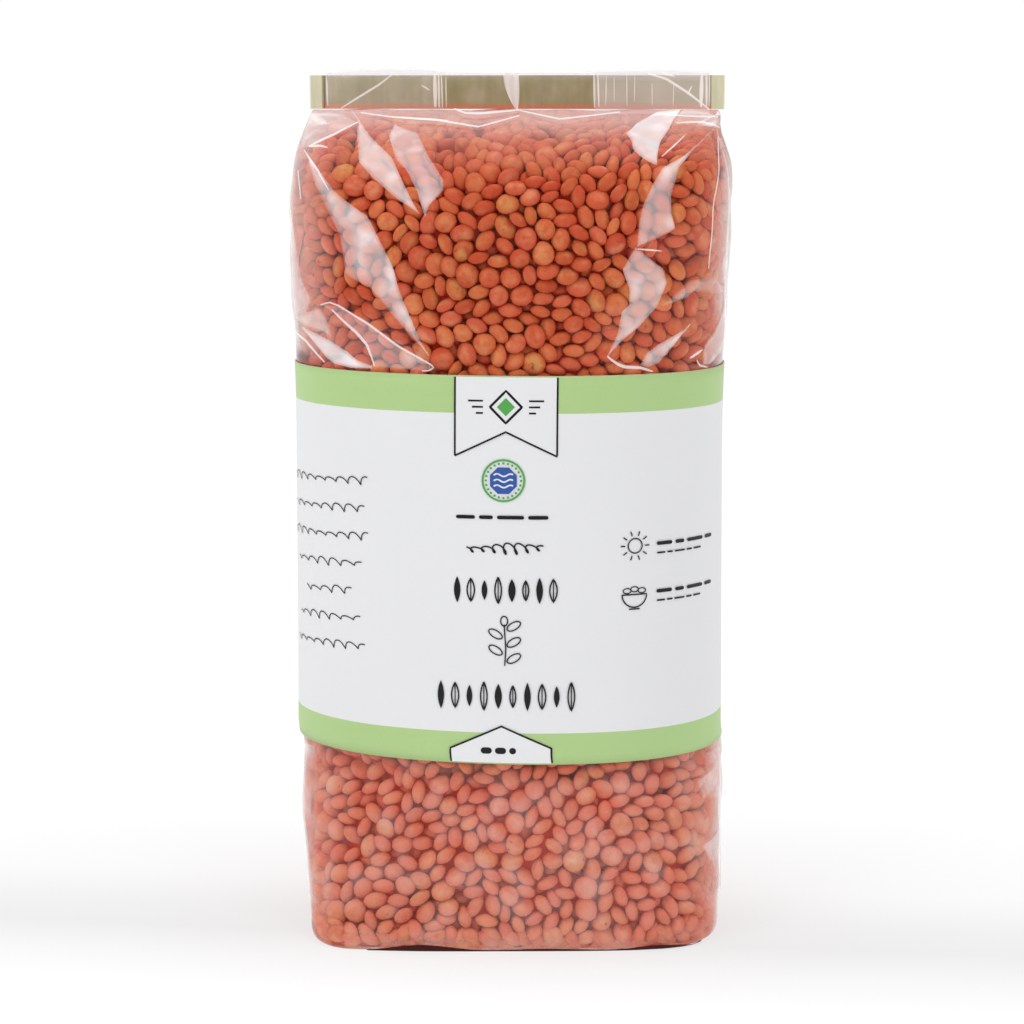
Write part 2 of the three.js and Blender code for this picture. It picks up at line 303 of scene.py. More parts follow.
# Fine grain: a value near 1 that varies, and a bumped normal
def grainGroup():
    sockets = [("Vector", "Vector", None), ("Scale", "Float", 900.0), ("Spread", "Float", 0.1),
               ("Bump", "Float", 0.1)]
    tree, given, made = newGroup("fine_grain", sockets, [("Value", "Float"), ("Normal", "Vector")])
    noise = noiseOf(tree, given["Vector"], given["Scale"], 4.0)
    varied = mathOf(tree, "MULTIPLY_ADD", mathOf(tree, "SUBTRACT", noise, 0.5), given["Spread"], 1.0)
    bump = newNode(tree, "Bump", Strength=given["Bump"], Distance=grainDepth, Height=noise)
    tree.links.new(varied, made["Value"])
    tree.links.new(bump.outputs["Normal"], made["Normal"])
    return tree


# Creases of thin film: a normal that turns over long soft folds and short fine ones
def creaseGroup():
    look = creaseLook
    sockets = [("Vector", "Vector", None), ("Bump", "Float", 0.5)]
    tree, given, made = newGroup("film_creases", sockets, [("Value", "Float"), ("Normal", "Vector")])
    turned = newNode(tree, "Mapping", Vector=given["Vector"], Rotation=look["turn"], Scale=look["stretch"])
    broad = newNode(tree, "TexNoise", {"noise_type": "RIDGED_MULTIFRACTAL"}, Vector=turned.outputs[0],
                    Scale=look["broad"], Detail=3.0, Roughness=0.45).outputs["Fac"]
    fine = noiseOf(tree, given["Vector"], look["fine"], 3.0)
    both = mathOf(tree, "MULTIPLY_ADD", fine, look["fineShare"], broad)
    bump = newNode(tree, "Bump", Strength=given["Bump"], Distance=look["depth"], Height=both)
    tree.links.new(broad, made["Value"])
    tree.links.new(bump.outputs["Normal"], made["Normal"])
    return tree


fineGrain = grainGroup()
filmCreases = creaseGroup()


def useGroup(tree, group, **inputs):
    return newNode(tree, "Group", {"node_tree": group}, **inputs).outputs


def rampOf(tree, factor, stops):
    ramp = newNode(tree, "ValToRGB", Fac=factor)
    places = ramp.color_ramp.elements
    while len(places) < len(stops):
        places.new(1.0)
    for element, (at, colour) in zip(places, stops):
        element.position = at
        element.color = opaque(colour)
    return ramp.outputs["Color"]


def tinted(tree, colour, factor):
    mixed = newNode(tree, "Mix", {"data_type": "RGBA", "blend_type": "MULTIPLY"}, i0=1.0, i6=colour)
    whole = newNode(tree, "CombineColor", Red=factor, Green=factor, Blue=factor)
    tree.links.new(whole.outputs[0], mixed.inputs[7])
    return mixed.outputs[2]


def closeMaterial(tree, shader):
    newNode(tree, "OutputMaterial", Surface=shader.outputs[0])


# What all lentils share, with a paler low colour that is a painted reflection of the floor. Each kind adds
# its own tones, pale patches, specks and roughness
lentilSkin = {"mottleScale": 1.1, "patch": (0.34, 0.64), "rimFrom": 0.6, "rimLeft": 0.1,
              "floorReflectionFrom": (0.038, 0.045), "floorReflection": 0.28, "speckScale": 2.1, "speck": (0.66, 0.72),
              "speckColour": (0.10, 0.042, 0.016), "low": (0.8, 0.4, 0.3)}


# Hulled lentil skin: its tone is drawn for each lentil, with soft mottling and a matt grain
def lentilMaterial(name, look):
    skin = lentilSkin
    material, tree = newMaterial(name)
    place = readMesh(tree, "lentilPlace", "Vector")
    colour = rampOf(tree, readMesh(tree, "tone"), look["tones"])
    # Pale mottling fades out toward the rim: the lentils' own mottling, kept to the crowns as a painted sheen
    edge = mapped(tree, readMesh(tree, "rim"), skin["rimFrom"], 1.0, 1.0, skin["rimLeft"])
    patch = mapped(tree, noiseOf(tree, place, skin["mottleScale"], 3.0), *skin["patch"], 0.0, look["mottle"])
    colour = mixedColour(tree, mathOf(tree, "MULTIPLY", patch, edge), colour, opaque(look["pale"]))
    # Painted reflection of the white floor in the film: low in the bag the lentils are mixed toward a paler
    # colour
    floorReflection = mapped(tree, axisOf(tree, objectPlace(tree), "Z"), *skin["floorReflectionFrom"], skin["floorReflection"], 0.0)
    colour = mixedColour(tree, floorReflection, colour, opaque(look.get("low", skin["low"])))  # paler low in the bag
    if look["specks"]:
        mask = mapped(tree, noiseOf(tree, place, skin["speckScale"], 2.0), *skin["speck"], 0.0,
                      look["specks"])
        colour = mixedColour(tree, mask, colour, opaque(skin["speckColour"]))
    grain = useGroup(tree, fineGrain, Vector=place, Scale=5.0, Spread=0.22, Bump=0.22)
    shader = newNode(tree, "BsdfPrincipled", Base_Color=tinted(tree, colour, grain["Value"]),
                     Roughness=look["roughness"], Specular_IOR_Level=0.3, Normal=grain["Normal"],
                     Subsurface_Weight=0.25, Subsurface_Scale=0.0006, Subsurface_Radius=(1.0, 0.4, 0.2),
                     Emission_Color=(0.9, 0.05, 0.02, 1.0), Emission_Strength=look.get("glow", 0.0))
    closeMaterial(tree, shader)
    return material


# Clear film: what lies behind shows through. Gleam grows at a slant, and the milky haze is read off the mesh,
# white or blushing.
# Much of that haze is painted sheen and painted reflection, and it glows faintly as painted light. Light on
# its way to the lentils passes unchanged
def filmMaterial(name, look):
    material, tree = newMaterial(name)
    creases = useGroup(tree, filmCreases, Vector=objectPlace(tree), Bump=look["bump"])
    streaks = mapped(tree, creases["Value"], 0.2, 1.0, 1 - look["streaks"], 1 + look["streaks"])
    rays = newNode(tree, "LightPath").outputs
    passing = mathOf(tree, "MAXIMUM", rays["Is Shadow Ray"], rays["Is Diffuse Ray"])
    kept = mathOf(tree, "SUBTRACT", 1.0, passing)
    streaked = mathOf(tree, "MULTIPLY", readMesh(tree, "hazeAndSheen"), streaks)
    hazy = mathOf(tree, "MULTIPLY", streaked, kept, clamp=True)
    slant = newNode(tree, "Fresnel", IOR=1.45).outputs[0]
    glint = mathOf(tree, "MULTIPLY", mathOf(tree, "MULTIPLY", slant, look["gleam"]), kept, clamp=True)
    milk = opaque(look["milk"])
    clear = newNode(tree, "BsdfTransparent", Color=opaque(look["clear"]))
    milkAndSheen = newNode(tree, "BsdfPrincipled", Base_Color=milk, Roughness=0.55, Specular_IOR_Level=0.3,
                    Normal=creases["Normal"], Emission_Color=milk, Emission_Strength=look["paintedGlow"])
    if look["blush"]:
        blushing = mixedColour(tree, readMesh(tree, "blush"), milk, opaque(look["blush"]))
        tree.links.new(blushing, milkAndSheen.inputs["Base Color"])
    shiny = newNode(tree, "BsdfPrincipled", Base_Color=opaque(look["colour"]), Metallic=look["mirror"],
                    Roughness=look["roughness"], Normal=creases["Normal"])
    closeMaterial(tree, mixedShader(tree, glint, mixedShader(tree, hazy, clear, milkAndSheen), shiny))
    return material


# Coated paper, print on it, or the film's hem, dark with painted shade
def paperMaterial(name, look):
    material, tree = newMaterial(name)
    place = objectPlace(tree)
    grain = useGroup(tree, fineGrain, Vector=place, Scale=look["scale"], Spread=look["spread"],
                     Bump=look["bump"])
    broad = useGroup(tree, fineGrain, Vector=place, Scale=40.0, Spread=look["spread"], Bump=0.0)
    colour = tinted(tree, tinted(tree, opaque(look["colour"]), grain["Value"]), broad["Value"])
    shader = newNode(tree, "BsdfPrincipled", Base_Color=colour, Roughness=look["roughness"],
                     Normal=grain["Normal"], Specular_IOR_Level=look["gloss"])
    closeMaterial(tree, shader)
    return material


# Lentils
# tumble scatters their tilt; facing is the share that faces out; push and sink move them at each step
slabLook = {"depth": 6.6, "radius": (2.4, 2.95), "flatness": (0.5, 0.64), "fill": 0.68, "steps": 130,
            "tumble": 0.38, "facing": 0.36, "turn": 0.2, "push": 0.42, "sink": 0.04, "near": 6.6}
zones = {
    "foot": {"from": 0.6, "to": 49.5, "girth": 284.0},
    "crown": {"from": 131.0, "to": 192.3, "girth": 285.0},
}


def nearPairs(spots, width, reach):
    gap = spots[:, None, :2] - spots[None, :, :2]
    gap[:, :, 0] -= np.round(gap[:, :, 0] / width) * width
    near = (gap**2).sum(-1) < reach**2
    i, j = np.nonzero(np.triu(near, 1))
    close = abs(spots[i, 2] - spots[j, 2]) < reach
    return i[close], j[close]


# How far each pair of flat round bodies overlaps, and the line between them
def overlaps(spots, axesA, axesB, radius, flatness, i, j, width):
    gap = spots[j] - spots[i]
    gap[:, 0] -= np.round(gap[:, 0] / width) * width
    length = np.linalg.norm(gap, axis=1) + 1e-9
    line = gap / length[:, None]
    ratio = (flatness[i] + flatness[j]) / 2
    chi = (ratio**2 - 1) / (ratio**2 + 1)
    a, b, both = (line * axesA).sum(1), (line * axesB).sum(1), (axesA * axesB).sum(1)
    shape = 1 - chi / 2 * ((a + b) ** 2 / (1 + chi * both) + (a - b) ** 2 / (1 - chi * both))
    contact = (radius[i] + radius[j]) / np.sqrt(np.maximum(shape, 0.05))
    return np.maximum(0, contact - length), line


def reachAcross(axes, radius, flatness, direction):
    along = axes[:, direction] ** 2
    return radius * np.sqrt(np.maximum(1 - along + flatness**2 * along, 0.01))


def shareOut(values, i, j, count):
    return np.bincount(i, values, count) + np.bincount(j, values, count)


# Lentils settle in a flat slab: round the bag, up it, and in from the film
def settle(width, height, look):
    depth = look["depth"]
    middle = np.mean(look["radius"])
    volume = 4 / 3 * math.pi * middle**3 * np.mean(look["flatness"])
    count = int(width * height * depth * look["fill"] / volume)
    spots = random.random((count, 3)) * (width, height, depth)
    size = random.uniform(*look["radius"], count)
    flatness = random.uniform(*look["flatness"], count)
    axes = random.normal(size=(count, 3)) * look["tumble"]
    axes += np.where(random.random((count, 1)) < look["facing"], (0, 0, 1), (0, 1, 0))
    axes /= np.linalg.norm(axes, axis=1, keepdims=True)
    for step in range(look["steps"]):
        radius = size * min(1, 0.75 + 0.35 * step / look["steps"])
        if step % 8 == 0:
            i, j = nearPairs(spots, width, look["near"])
        over, line = overlaps(spots, axes[i], axes[j], radius, flatness, i, j, width)
        now = shareOut(over, i, j, count)
        turned = axes + random.normal(size=(count, 3)) * look["turn"]
        turned /= np.linalg.norm(turned, axis=1, keepdims=True)
        after = np.bincount(i, overlaps(spots, turned[i], axes[j], radius, flatness, i, j, width)[0], count)
        after += np.bincount(j, overlaps(spots, axes[i], turned[j], radius, flatness, i, j, width)[0], count)
        wall = np.maximum(0, reachAcross(axes, radius, flatness, 2) - spots[:, 2])
        wallAfter = np.maximum(0, reachAcross(turned, radius, flatness, 2) - spots[:, 2])
        better = after + wallAfter * 1.5 < now + wall * 1.5
        axes[better] = turned[better]
        for k in range(3):
            push = over * line[:, k] * look["push"]
            spots[:, k] += np.bincount(j, push, count) - np.bincount(i, push, count)
        inside = reachAcross(axes, radius, flatness, 2)
        spots[:, 2] -= look["sink"]
        spots[:, 2] = np.clip(spots[:, 2], inside, depth - inside * 0.4)
        spots[:, 1] = np.clip(spots[:, 1], 0, height)
        spots[:, 0] %= width
    return {"spots": spots, "axes": axes, "radius": size, "flatness": flatness, "width": width,
            "height": height}


sideFrom = 0.86
standOffLook = {"everywhere": 0.35, "left": 3.2, "right": 1.5, "top": 0.25}


# How far in from the mean film the lentils start: more where the film stands off them at the sides
def standOff(points, height):
    look = standOffLook
    side = easeStep(outToSide(points, height), sideFrom, 1.0)
    atSides = np.where(points[..., 0] < 0, look["left"], look["right"]) * side
    return look["everywhere"] + atSides + look["top"] * easeStep(height, 176, 186)


# The heap's top: its height by distance from the middle, and its half width by height
roofHeights = [(0, 194.0), (0.9, 194.0), (13.5, 190.6), (24.5, 186.4), (31.2, 180.5), (34, 172)]
topReach = [(177, 60), (180.5, 50.5), (184, 47.5), (188, 44), (191, 41), (194, 37)]
roofFrom = 182  # the roof holds down only lentils above this height


def placeLentils(zone, slab):
    share = slab["spots"][:, 0] / slab["width"]
    place = placeOf(heap, zone["from"]) + slab["spots"][:, 1] / heap["step"]
    skin = lookUp(heap["points"], share, place)
    normal = lookUp(heap["normals"], share, place)
    above = lookUp(heap["points"], share, place + 3) - lookUp(heap["points"], share, place - 3)
    up = above / (np.linalg.norm(above, axis=1, keepdims=True) + 1e-9)
    side = np.cross(up, normal)
    axes = slab["axes"]
    inset = standOff(skin, skin[:, 2]) + slab["spots"][:, 2]
    centre = skin - normal * inset[:, None]
    turned = side * axes[:, :1] + up * axes[:, 1:2] - normal * axes[:, 2:]
    kept = random.random(len(share)) < girthAt(heap, place) / slab["width"] * 1.04
    offset = centre[:, 0] - readOff(lean, centre[:, 2])
    reach = readOff(topReach, centre[:, 2])
    kept &= (offset < reach) & (-offset < reach - 2.6 * easeStep(centre[:, 2], 177, 181))
    top = centre[:, 2] + reachAcross(turned, slab["radius"], slab["flatness"], 2)
    roof = np.interp(abs(centre[:, 1]), *np.array(roofHeights).T)
    kept &= (top < roof + 0.3) | (centre[:, 2] < roofFrom)
    return centre[kept], turned[kept], slab["radius"][kept], slab["flatness"][kept]


drapeLook = {"pitch": 0.7, "deepest": 1.5, "lentilsTo": 4.2, "softened": 9, "lift": 0.12, "range": (0, 0.9)}


# The film's depth over the lentils of a slab, as a soft sheet drawn over their crowns
def drapeOver(slab):
    look = drapeLook
    columns = int(slab["width"] / look["pitch"])
    rows = int(slab["height"] / look["pitch"]) + 1
    stepU, stepV = slab["width"] / columns, slab["height"] / (rows - 1)
    depth = np.full((rows, columns), look["deepest"])
    for (u, v, w), axis, a, k in zip(slab["spots"], slab["axes"], slab["radius"], slab["flatness"]):
        if w > look["lentilsTo"]:
            continue
        i = np.arange(int((u - 3) / stepU), int((u + 3) / stepU) + 2)
        j = np.arange(max(0, int((v - 3) / stepV)), min(rows, int((v + 3) / stepV) + 2))
        du, dv = np.meshgrid(i * stepU - u, j * stepV - v)
        extra = 1 / (k * k) - 1
        m33 = 1 + extra * axis[2] ** 2
        b = extra * axis[2] * (axis[0] * du + axis[1] * dv)
        c = du**2 + dv**2 + extra * (axis[0] * du + axis[1] * dv) ** 2 - a * a
        inside = b * b - m33 * c
        top = np.where(inside > 0, w + (-b - np.sqrt(np.maximum(inside, 0))) / m33, 9)
        patch = depth[np.ix_(j, i % columns)]
        depth[np.ix_(j, i % columns)] = np.minimum(patch, top)
    soft = depth.copy()
    for _ in range(look["softened"]):
        soft = (np.roll(soft, 1, 1) + soft * 2 + np.roll(soft, -1, 1)) / 4
        edged = np.pad(soft, ((1, 1), (0, 0)), mode="edge")
        soft = (edged[:-2] + soft * 2 + edged[2:]) / 4
    return np.clip(soft - look["lift"], *look["range"])


lentilProfile = [(0.42, 0.915), (0.74, 0.67), (0.93, 0.345), (1.0, 0.0), (0.93, -0.345), (0.74, -0.67),
                 (0.42, -0.915)]
lentilSides = 14


def lentilShape():
    angles = np.arange(lentilSides) * 2 * math.pi / lentilSides
    across, deep = np.cos(angles), np.sin(angles)
    rings = [np.stack([r * across, r * deep, np.full(lentilSides, h)], 1) for r, h in lentilProfile]
    points = np.vstack([[[0, 0, 1.0]], *rings, [[0, 0, -1.0]]])
    faces = []
    last = len(points) - 1
    for k in range(lentilSides):
        after = (k + 1) % lentilSides
        faces.append((0, 1 + k, 1 + after))
        for row in range(len(lentilProfile) - 1):
            a, b = 1 + row * lentilSides + k, 1 + row * lentilSides + after
            faces += [(a, a + lentilSides, b + lentilSides), (a, b + lentilSides, b)]
        faces.append((last, last - lentilSides + after, last - lentilSides + k))
    return points, np.array(faces)


def lentilMeshes(name, centres, axes, radius, flatness, material, tone):
    shape, faces = lentilShape()
    count = len(centres)
    helper = random.normal(size=(count, 3))
    first = np.cross(axes, helper)
    first /= np.linalg.norm(first, axis=1, keepdims=True)
    second = np.cross(axes, first)
    turn = random.uniform(0, 2 * math.pi, (count, 1))
    angle = np.arctan2(shape[:, 1], shape[:, 0])
    wobble = 1 + 0.045 * np.cos(2 * (angle - turn)) + 0.025 * np.cos(3 * angle + turn * 5)
    local = np.repeat(shape[None], count, 0)
    local[:, :, :2] *= wobble[:, :, None] * radius[:, None, None]
    local[:, :, 2] *= (radius * flatness)[:, None]
    frames = np.stack([first, second, axes], 1)
    points = centres[:, None] + np.einsum("nvk,nkc->nvc", local, frames)
    allFaces = (faces[None] + (np.arange(count) * len(shape))[:, None, None]).reshape(-1, 3)
    own = local * 0.4 + random.uniform(0, 90, (count, 1, 3))
    rim = np.tile(np.hypot(shape[:, 0], shape[:, 1]), count)
    values = {"tone": np.repeat(tone, len(shape)), "lentilPlace": own.reshape(-1, 3), "rim": rim}
    return addPiece(name, points.reshape(-1, 3), allFaces, [material], "lentils", values=values)


lentilKinds = {
    "lentils_salmon": {"share": 0.25, "mottle": 0.8, "pale": (0.74, 0.259, 0.105), "specks": 0,
        "roughness": 0.55, "tones": [(0.0, (0.54, 0.077, 0.025)), (0.5, (0.62, 0.110, 0.038)),
        (1.0, (0.68, 0.154, 0.055))]},
    "lentils_coral": {"share": 0.22, "mottle": 0.7, "pale": (0.75, 0.240, 0.105), "specks": 0,
        "roughness": 0.52, "tones": [(0.0, (0.58, 0.072, 0.025)), (1.0, (0.68, 0.125, 0.049))]},
    "lentils_peach": {"share": 0.23, "mottle": 0.85, "pale": (0.77, 0.326, 0.130), "specks": 0,
        "roughness": 0.55, "tones": [(0.0, (0.60, 0.101, 0.032)), (1.0, (0.72, 0.182, 0.067))]},
    "lentils_rose": {"share": 0.2, "mottle": 0.75, "pale": (0.77, 0.298, 0.143), "specks": 0,
        "roughness": 0.52, "tones": [(0.0, (0.60, 0.082, 0.034)), (1.0, (0.71, 0.144, 0.067))]},
    "lentils_speckled": {"share": 0.1, "mottle": 1.0, "pale": (0.68, 0.298, 0.097), "specks": 0.6,
        "roughness": 0.55, "tones": [(0.0, (0.56, 0.091, 0.030)), (1.0, (0.70, 0.173, 0.059))]},
}


baseLook = {"pitch": (4.9, 4.3), "half": (41.5, 32.0), "scatter": 0.5, "turn": 7, "shift": 0.9, "height": 2.5,
            "rise": 0.6, "tilt": 0.3}


# One layer of lentils lying on the flat foot
def baseLayer():
    look = baseLook
    wide, deep = look["pitch"]
    halfX, halfY = look["half"]
    spots = []
    for row in range(-8, 9):
        for column in range(-11, 12):
            x, y = column * wide + (row % 2) * wide / 2, row * deep
            if (abs(x) / halfX) ** 3 + (abs(y) / halfY) ** 3 < 1:
                spots.append((x, y))
    spots = np.array(spots) + random.normal(size=(len(spots), 2)) * look["scatter"]
    turn = math.radians(look["turn"])
    x = spots[:, 0] * math.cos(turn) - spots[:, 1] * math.sin(turn) + look["shift"]
    y = spots[:, 0] * math.sin(turn) + spots[:, 1] * math.cos(turn)
    count = len(spots)
    axes = np.stack([*random.normal(size=(2, count)) * look["tilt"], np.ones(count)], 1)
    axes /= np.linalg.norm(axes, axis=1, keepdims=True)
    centres = np.stack([x, y, look["height"] + random.uniform(0, look["rise"], count)], 1)
    return centres, axes, random.uniform(2.35, 2.9, count), random.uniform(0.5, 0.62, count)


def buildLentils():
    drapes, parts = {}, [baseLayer()]
    for key, zone in zones.items():
        height = (placeOf(heap, zone["to"]) - placeOf(heap, zone["from"])) * heap["step"]
        slab = settle(zone["girth"], float(height), slabLook)
        drapes[key] = drapeOver(slab)
        parts.append(placeLentils(zone, slab))
    centres, axes, radius, flatness = [np.concatenate(each) for each in zip(*parts)]
    lowest = reachAcross(axes, radius, flatness, 2) * 1.06 + 0.35  # none goes below the film
    centres[:, 2] = np.maximum(centres[:, 2], lowest)
    draw = random.random(len(centres))
    tone = np.clip(random.normal(0.5, 0.25, len(centres)), 0, 1)
    start = 0.0
    for name, look in lentilKinds.items():
        chosen = (draw >= start) & (draw < start + look["share"])
        start += look["share"]
        picked = [values[chosen] for values in (centres, axes, radius, flatness)]
        lentilMeshes(name, *picked, lentilMaterial(name, look), tone[chosen])
    print("stage: lentils", len(centres))
    return drapes


# glow is a faint red emission: painted light that fills the gaps between lentils
coreLook = {"tones": [(0.0, (0.75, 0.05, 0.015)), (1.0, (0.92, 0.08, 0.025))], "mottle": 0.2,
            "pale": (0.6, 0.1, 0.03), "low": (0.75, 0.06, 0.02), "specks": 0, "roughness": 0.7, "glow": 0.11}
coreShape = {"rows": 110, "columns": 120, "from": 0.5, "to": 188.5, "inset": 5.4, "lump": 0.5,
             "heights": (4.6, 184.5), "middle": 0.9}


# Dark mass of lentils farther in, which closes the gaps; its faint red glow is painted light between the
# lentils
def buildCore():
    look = coreShape
    rows, columns = look["rows"], look["columns"]
    places = np.linspace(placeOf(heap, look["from"]), placeOf(heap, look["to"]), rows)
    share, place = np.meshgrid(np.arange(columns) / columns, places)
    skin = lookUp(heap["points"], share, place)
    lumps = look["lump"] * np.sin(share * 2 * math.pi * 47) * np.sin(place * 0.11)
    inset = look["inset"] + lumps + standOff(skin, skin[..., 2])
    points = skin - lookUp(heap["normals"], share, place) * inset[..., None]
    points[..., 2] = np.clip(points[..., 2], *look["heights"])
    most = np.minimum(readOff(topReach, points[..., 2]) - 2, 60)
    points[..., 0] = np.clip(points[..., 0], -most, most)
    ends = [[look["middle"], 0, height] for height in look["heights"]]
    points = np.vstack([points.reshape(-1, 3), ends])
    foot, top, last = rows * columns, rows * columns + 1, (rows - 1) * columns
    fans = [(foot, (k + 1) % columns, k) for k in range(columns)]
    fans += [(top, last + k, last + (k + 1) % columns) for k in range(columns)]
    faces = np.vstack([halved(gridFaces(rows, columns, closed=True)), np.array(fans)])
    tone = 0.5 + 0.5 * np.sin(np.arange(len(points)) * 12.9898)
    values = {"tone": tone, "lentilPlace": points * 0.4, "rim": np.zeros(len(points))}
    piece = addPiece("lentil_core", points, faces, [lentilMaterial("lentil_core", coreLook)], "lentils",
                     values=values)
    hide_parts("filled_bag")


# Film
def readDrape(drape, share, along):
    rows, columns = drape.shape
    u = (share % 1) * columns
    v = np.clip(along, 0, 1 - 1e-6) * (rows - 1)
    c, r = u.astype(int) % columns, v.astype(int)
    fu, fv = u - u.astype(int), v - r
    after = (c + 1) % columns
    low = drape[r, c] * (1 - fu) + drape[r, after] * fu
    high = drape[r + 1, c] * (1 - fu) + drape[r + 1, after] * fu
    return low * (1 - fv) + high * fv


filmLook = {"clear": (1.0, 0.99, 0.985), "colour": (0.98, 0.97, 0.965), "mirror": 1.0, "roughness": 0.1,
            "gleam": 1.1, "bump": 0.35, "streaks": 0.3, "milk": (1.0, 0.97, 0.975), "paintedGlow": 0.1,
            "blush": None}
bagFilmLook = dict(filmLook, blush=(0.95, 0.09, 0.05))
filmShape = {"columns": 420, "rows": [(0, 48, 74), (52, 128, 6), (132, 194, 96)], "labelHides": (47, 133),
             "lift": 0.12, "underLabel": -0.1, "wave": 0.22, "cling": 0.6, "lowest": 0.05, "middle": 0.9,
             "floorRings": (0.75, 0.45, 0.2, 0.06), "floorHeight": 0.25, "underHaze": 0.05}
# How much painted sheen and painted reflection the film gets: at its sides, edges and roof, over its foot, on
# the crowns it clings to, and at the upper left
paintedSheenLook = {"side": 0.06, "edge": 0.48, "roof": 0.34, "foot": 0.2, "onCrowns": 0.06, "left": 0.27,
            "white": 0.3, "corner": 0.3}

# Spots low on the front where the painted reflection is left out and the film is clear: millimetres round and
# up, half width, half height
clearSpots = [(4, 42.4, 26, 2.6), (40.5, 30.6, 9, 2.1), (30, 30.4, 7, 1.6), (44.5, 16.6, 3, 4.5),
              (-43.5, 7.5, 6, 2.2), (-39.9, 25.2, 5, 1.6), (-51, 36.2, 3, 2), (36, 36.8, 5, 1.5),
              (-20, 12.5, 9, 1.5), (14, 20, 8, 1.4)]


def clearShare(share, place, height):
    along = ((share - printCentre + 0.5) % 1 - 0.5) * girthAt(bag, place)
    clear = np.zeros(share.shape)
    for x, z, wide, high in clearSpots:
        clear = np.maximum(clear, np.exp(-(((along - x) / wide) ** 4) - ((height - z) / high) ** 4))
    return clear


# For each zone: where it lies, and the drape's depth there, near 0 on the lentils' crowns
def zoneDepths(drapes, share, height):
    for key, zone in zones.items():
        start, end = placeOf(heap, zone["from"]), placeOf(heap, zone["to"])
        depth = readDrape(drapes[key], share, (placeOf(heap, height) - start) / (end - start))
        yield (height > zone["from"]) & (height < zone["to"]), depth


def paintedFilmSheen(skin, share, place, sink):
    look = paintedSheenLook
    height = skin[..., 2]
    out = outToSide(skin, height)
    leftward = -skin[..., 0] / bagHalf
    overLabel = easeStep(height, 136, 140)
    edge = easeStep(out, 0.93, 1.0)
    roof = easeStep(height, 188, 192.5)
    onCrowns = 1 - easeStep(sink, 0.25, 0.85)  # painted gleam where the film clings to the lentils' crowns
    rise = 0.65 + 0.35 * easeStep(height, 6, 18)
    low = (1 - easeStep(height, 42, 46)) * (1 - 0.85 * clearShare(share, place, height))
    left = easeStep(leftward, 0.66, 0.95) * overLabel
    white = easeStep(leftward, 0.9, 1.0) * overLabel
    corner = easeStep(leftward, 0.8, 0.96) * easeStep(height, 176, 184)
    # Painted sheen at the sides, edges, roof and upper left; low on the front a painted reflection of the
    # floor, stronger on the crowns
    hazeAndSheen = look["side"] * easeStep(out, sideFrom, 1.0) + look["edge"] * edge + look["roof"] * roof
    hazeAndSheen = hazeAndSheen + low * rise * (look["foot"] + look["onCrowns"] * onCrowns)
    hazeAndSheen = hazeAndSheen + look["left"] * left + look["white"] * white + look["corner"] * corner
    # blush tints that painted reflection pink, less on the crowns, and tints the roof's painted sheen a
    # little
    blush = np.clip(low * (1 - edge) * (1 - onCrowns**0.5) + 0.3 * roof, 0, 1)
    return hazeAndSheen, blush


def buildFilm(drapes):
    look = filmShape
    columns = look["columns"]
    places = np.concatenate([np.linspace(placeOf(bag, low), placeOf(bag, high), count)
                             for low, high, count in look["rows"]])
    share, place = np.meshgrid(np.arange(columns) / columns, places)
    skin = lookUp(bag["points"], share, place)
    height = skin[..., 2]
    sink = np.zeros(share.shape)
    for inside, depth in zoneDepths(drapes, share, height):
        sink = np.where(inside, depth, sink)
    side = easeStep(outToSide(skin, height), sideFrom, 1.0)
    tight = (1 - side) * (1 - easeStep(height, 178, 187)) * easeStep(height, 0.5, 4)
    wave = np.sin(share * 2 * math.pi * 9 + height * 0.11) * np.sin(height * 0.35 + share * 21) * look["wave"]
    hideFrom, hideTo = look["labelHides"]
    lift = look["lift"] + wave * (1 - tight * 0.8) - tight * (sink * look["cling"])
    lift = np.where((height > hideFrom) & (height < hideTo), look["underLabel"], lift)
    points = skin + lookUp(bag["normals"], share, place) * lift[..., None]
    points[..., 2] = np.maximum(points[..., 2], look["lowest"])
    hazeAndSheen, blush = paintedFilmSheen(skin, share, place, sink)
    centre = np.array([look["middle"], 0, look["floorHeight"]])
    rings = np.array([points[0] * (1 - t) + centre * t for t in look["floorRings"]])
    rings[:, :, 2] = np.maximum(rings[:, :, 2], look["lowest"])
    whole = np.vstack([[[look["middle"], 0, 0.3]], rings.reshape(-1, 3), points.reshape(-1, 3)])
    quads = gridFaces(len(places) + len(rings), columns, closed=True) + 1
    fan = np.array([(0, 1 + (k + 1) % columns, 1 + k) for k in range(columns)])
    under = np.full(1 + len(rings) * columns, look["underHaze"])
    values = {"hazeAndSheen": np.concatenate([under, hazeAndSheen.ravel()]), "blush": np.concatenate([under, blush.ravel()])}
    faces = np.vstack([halved(quads), fan])
    piece = addPiece("bag_film", whole, faces, [filmMaterial("bag_film", bagFilmLook)], "film", values=values)
    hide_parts("filled_bag")


drapes = buildLentils()
buildCore()
buildFilm(drapes)

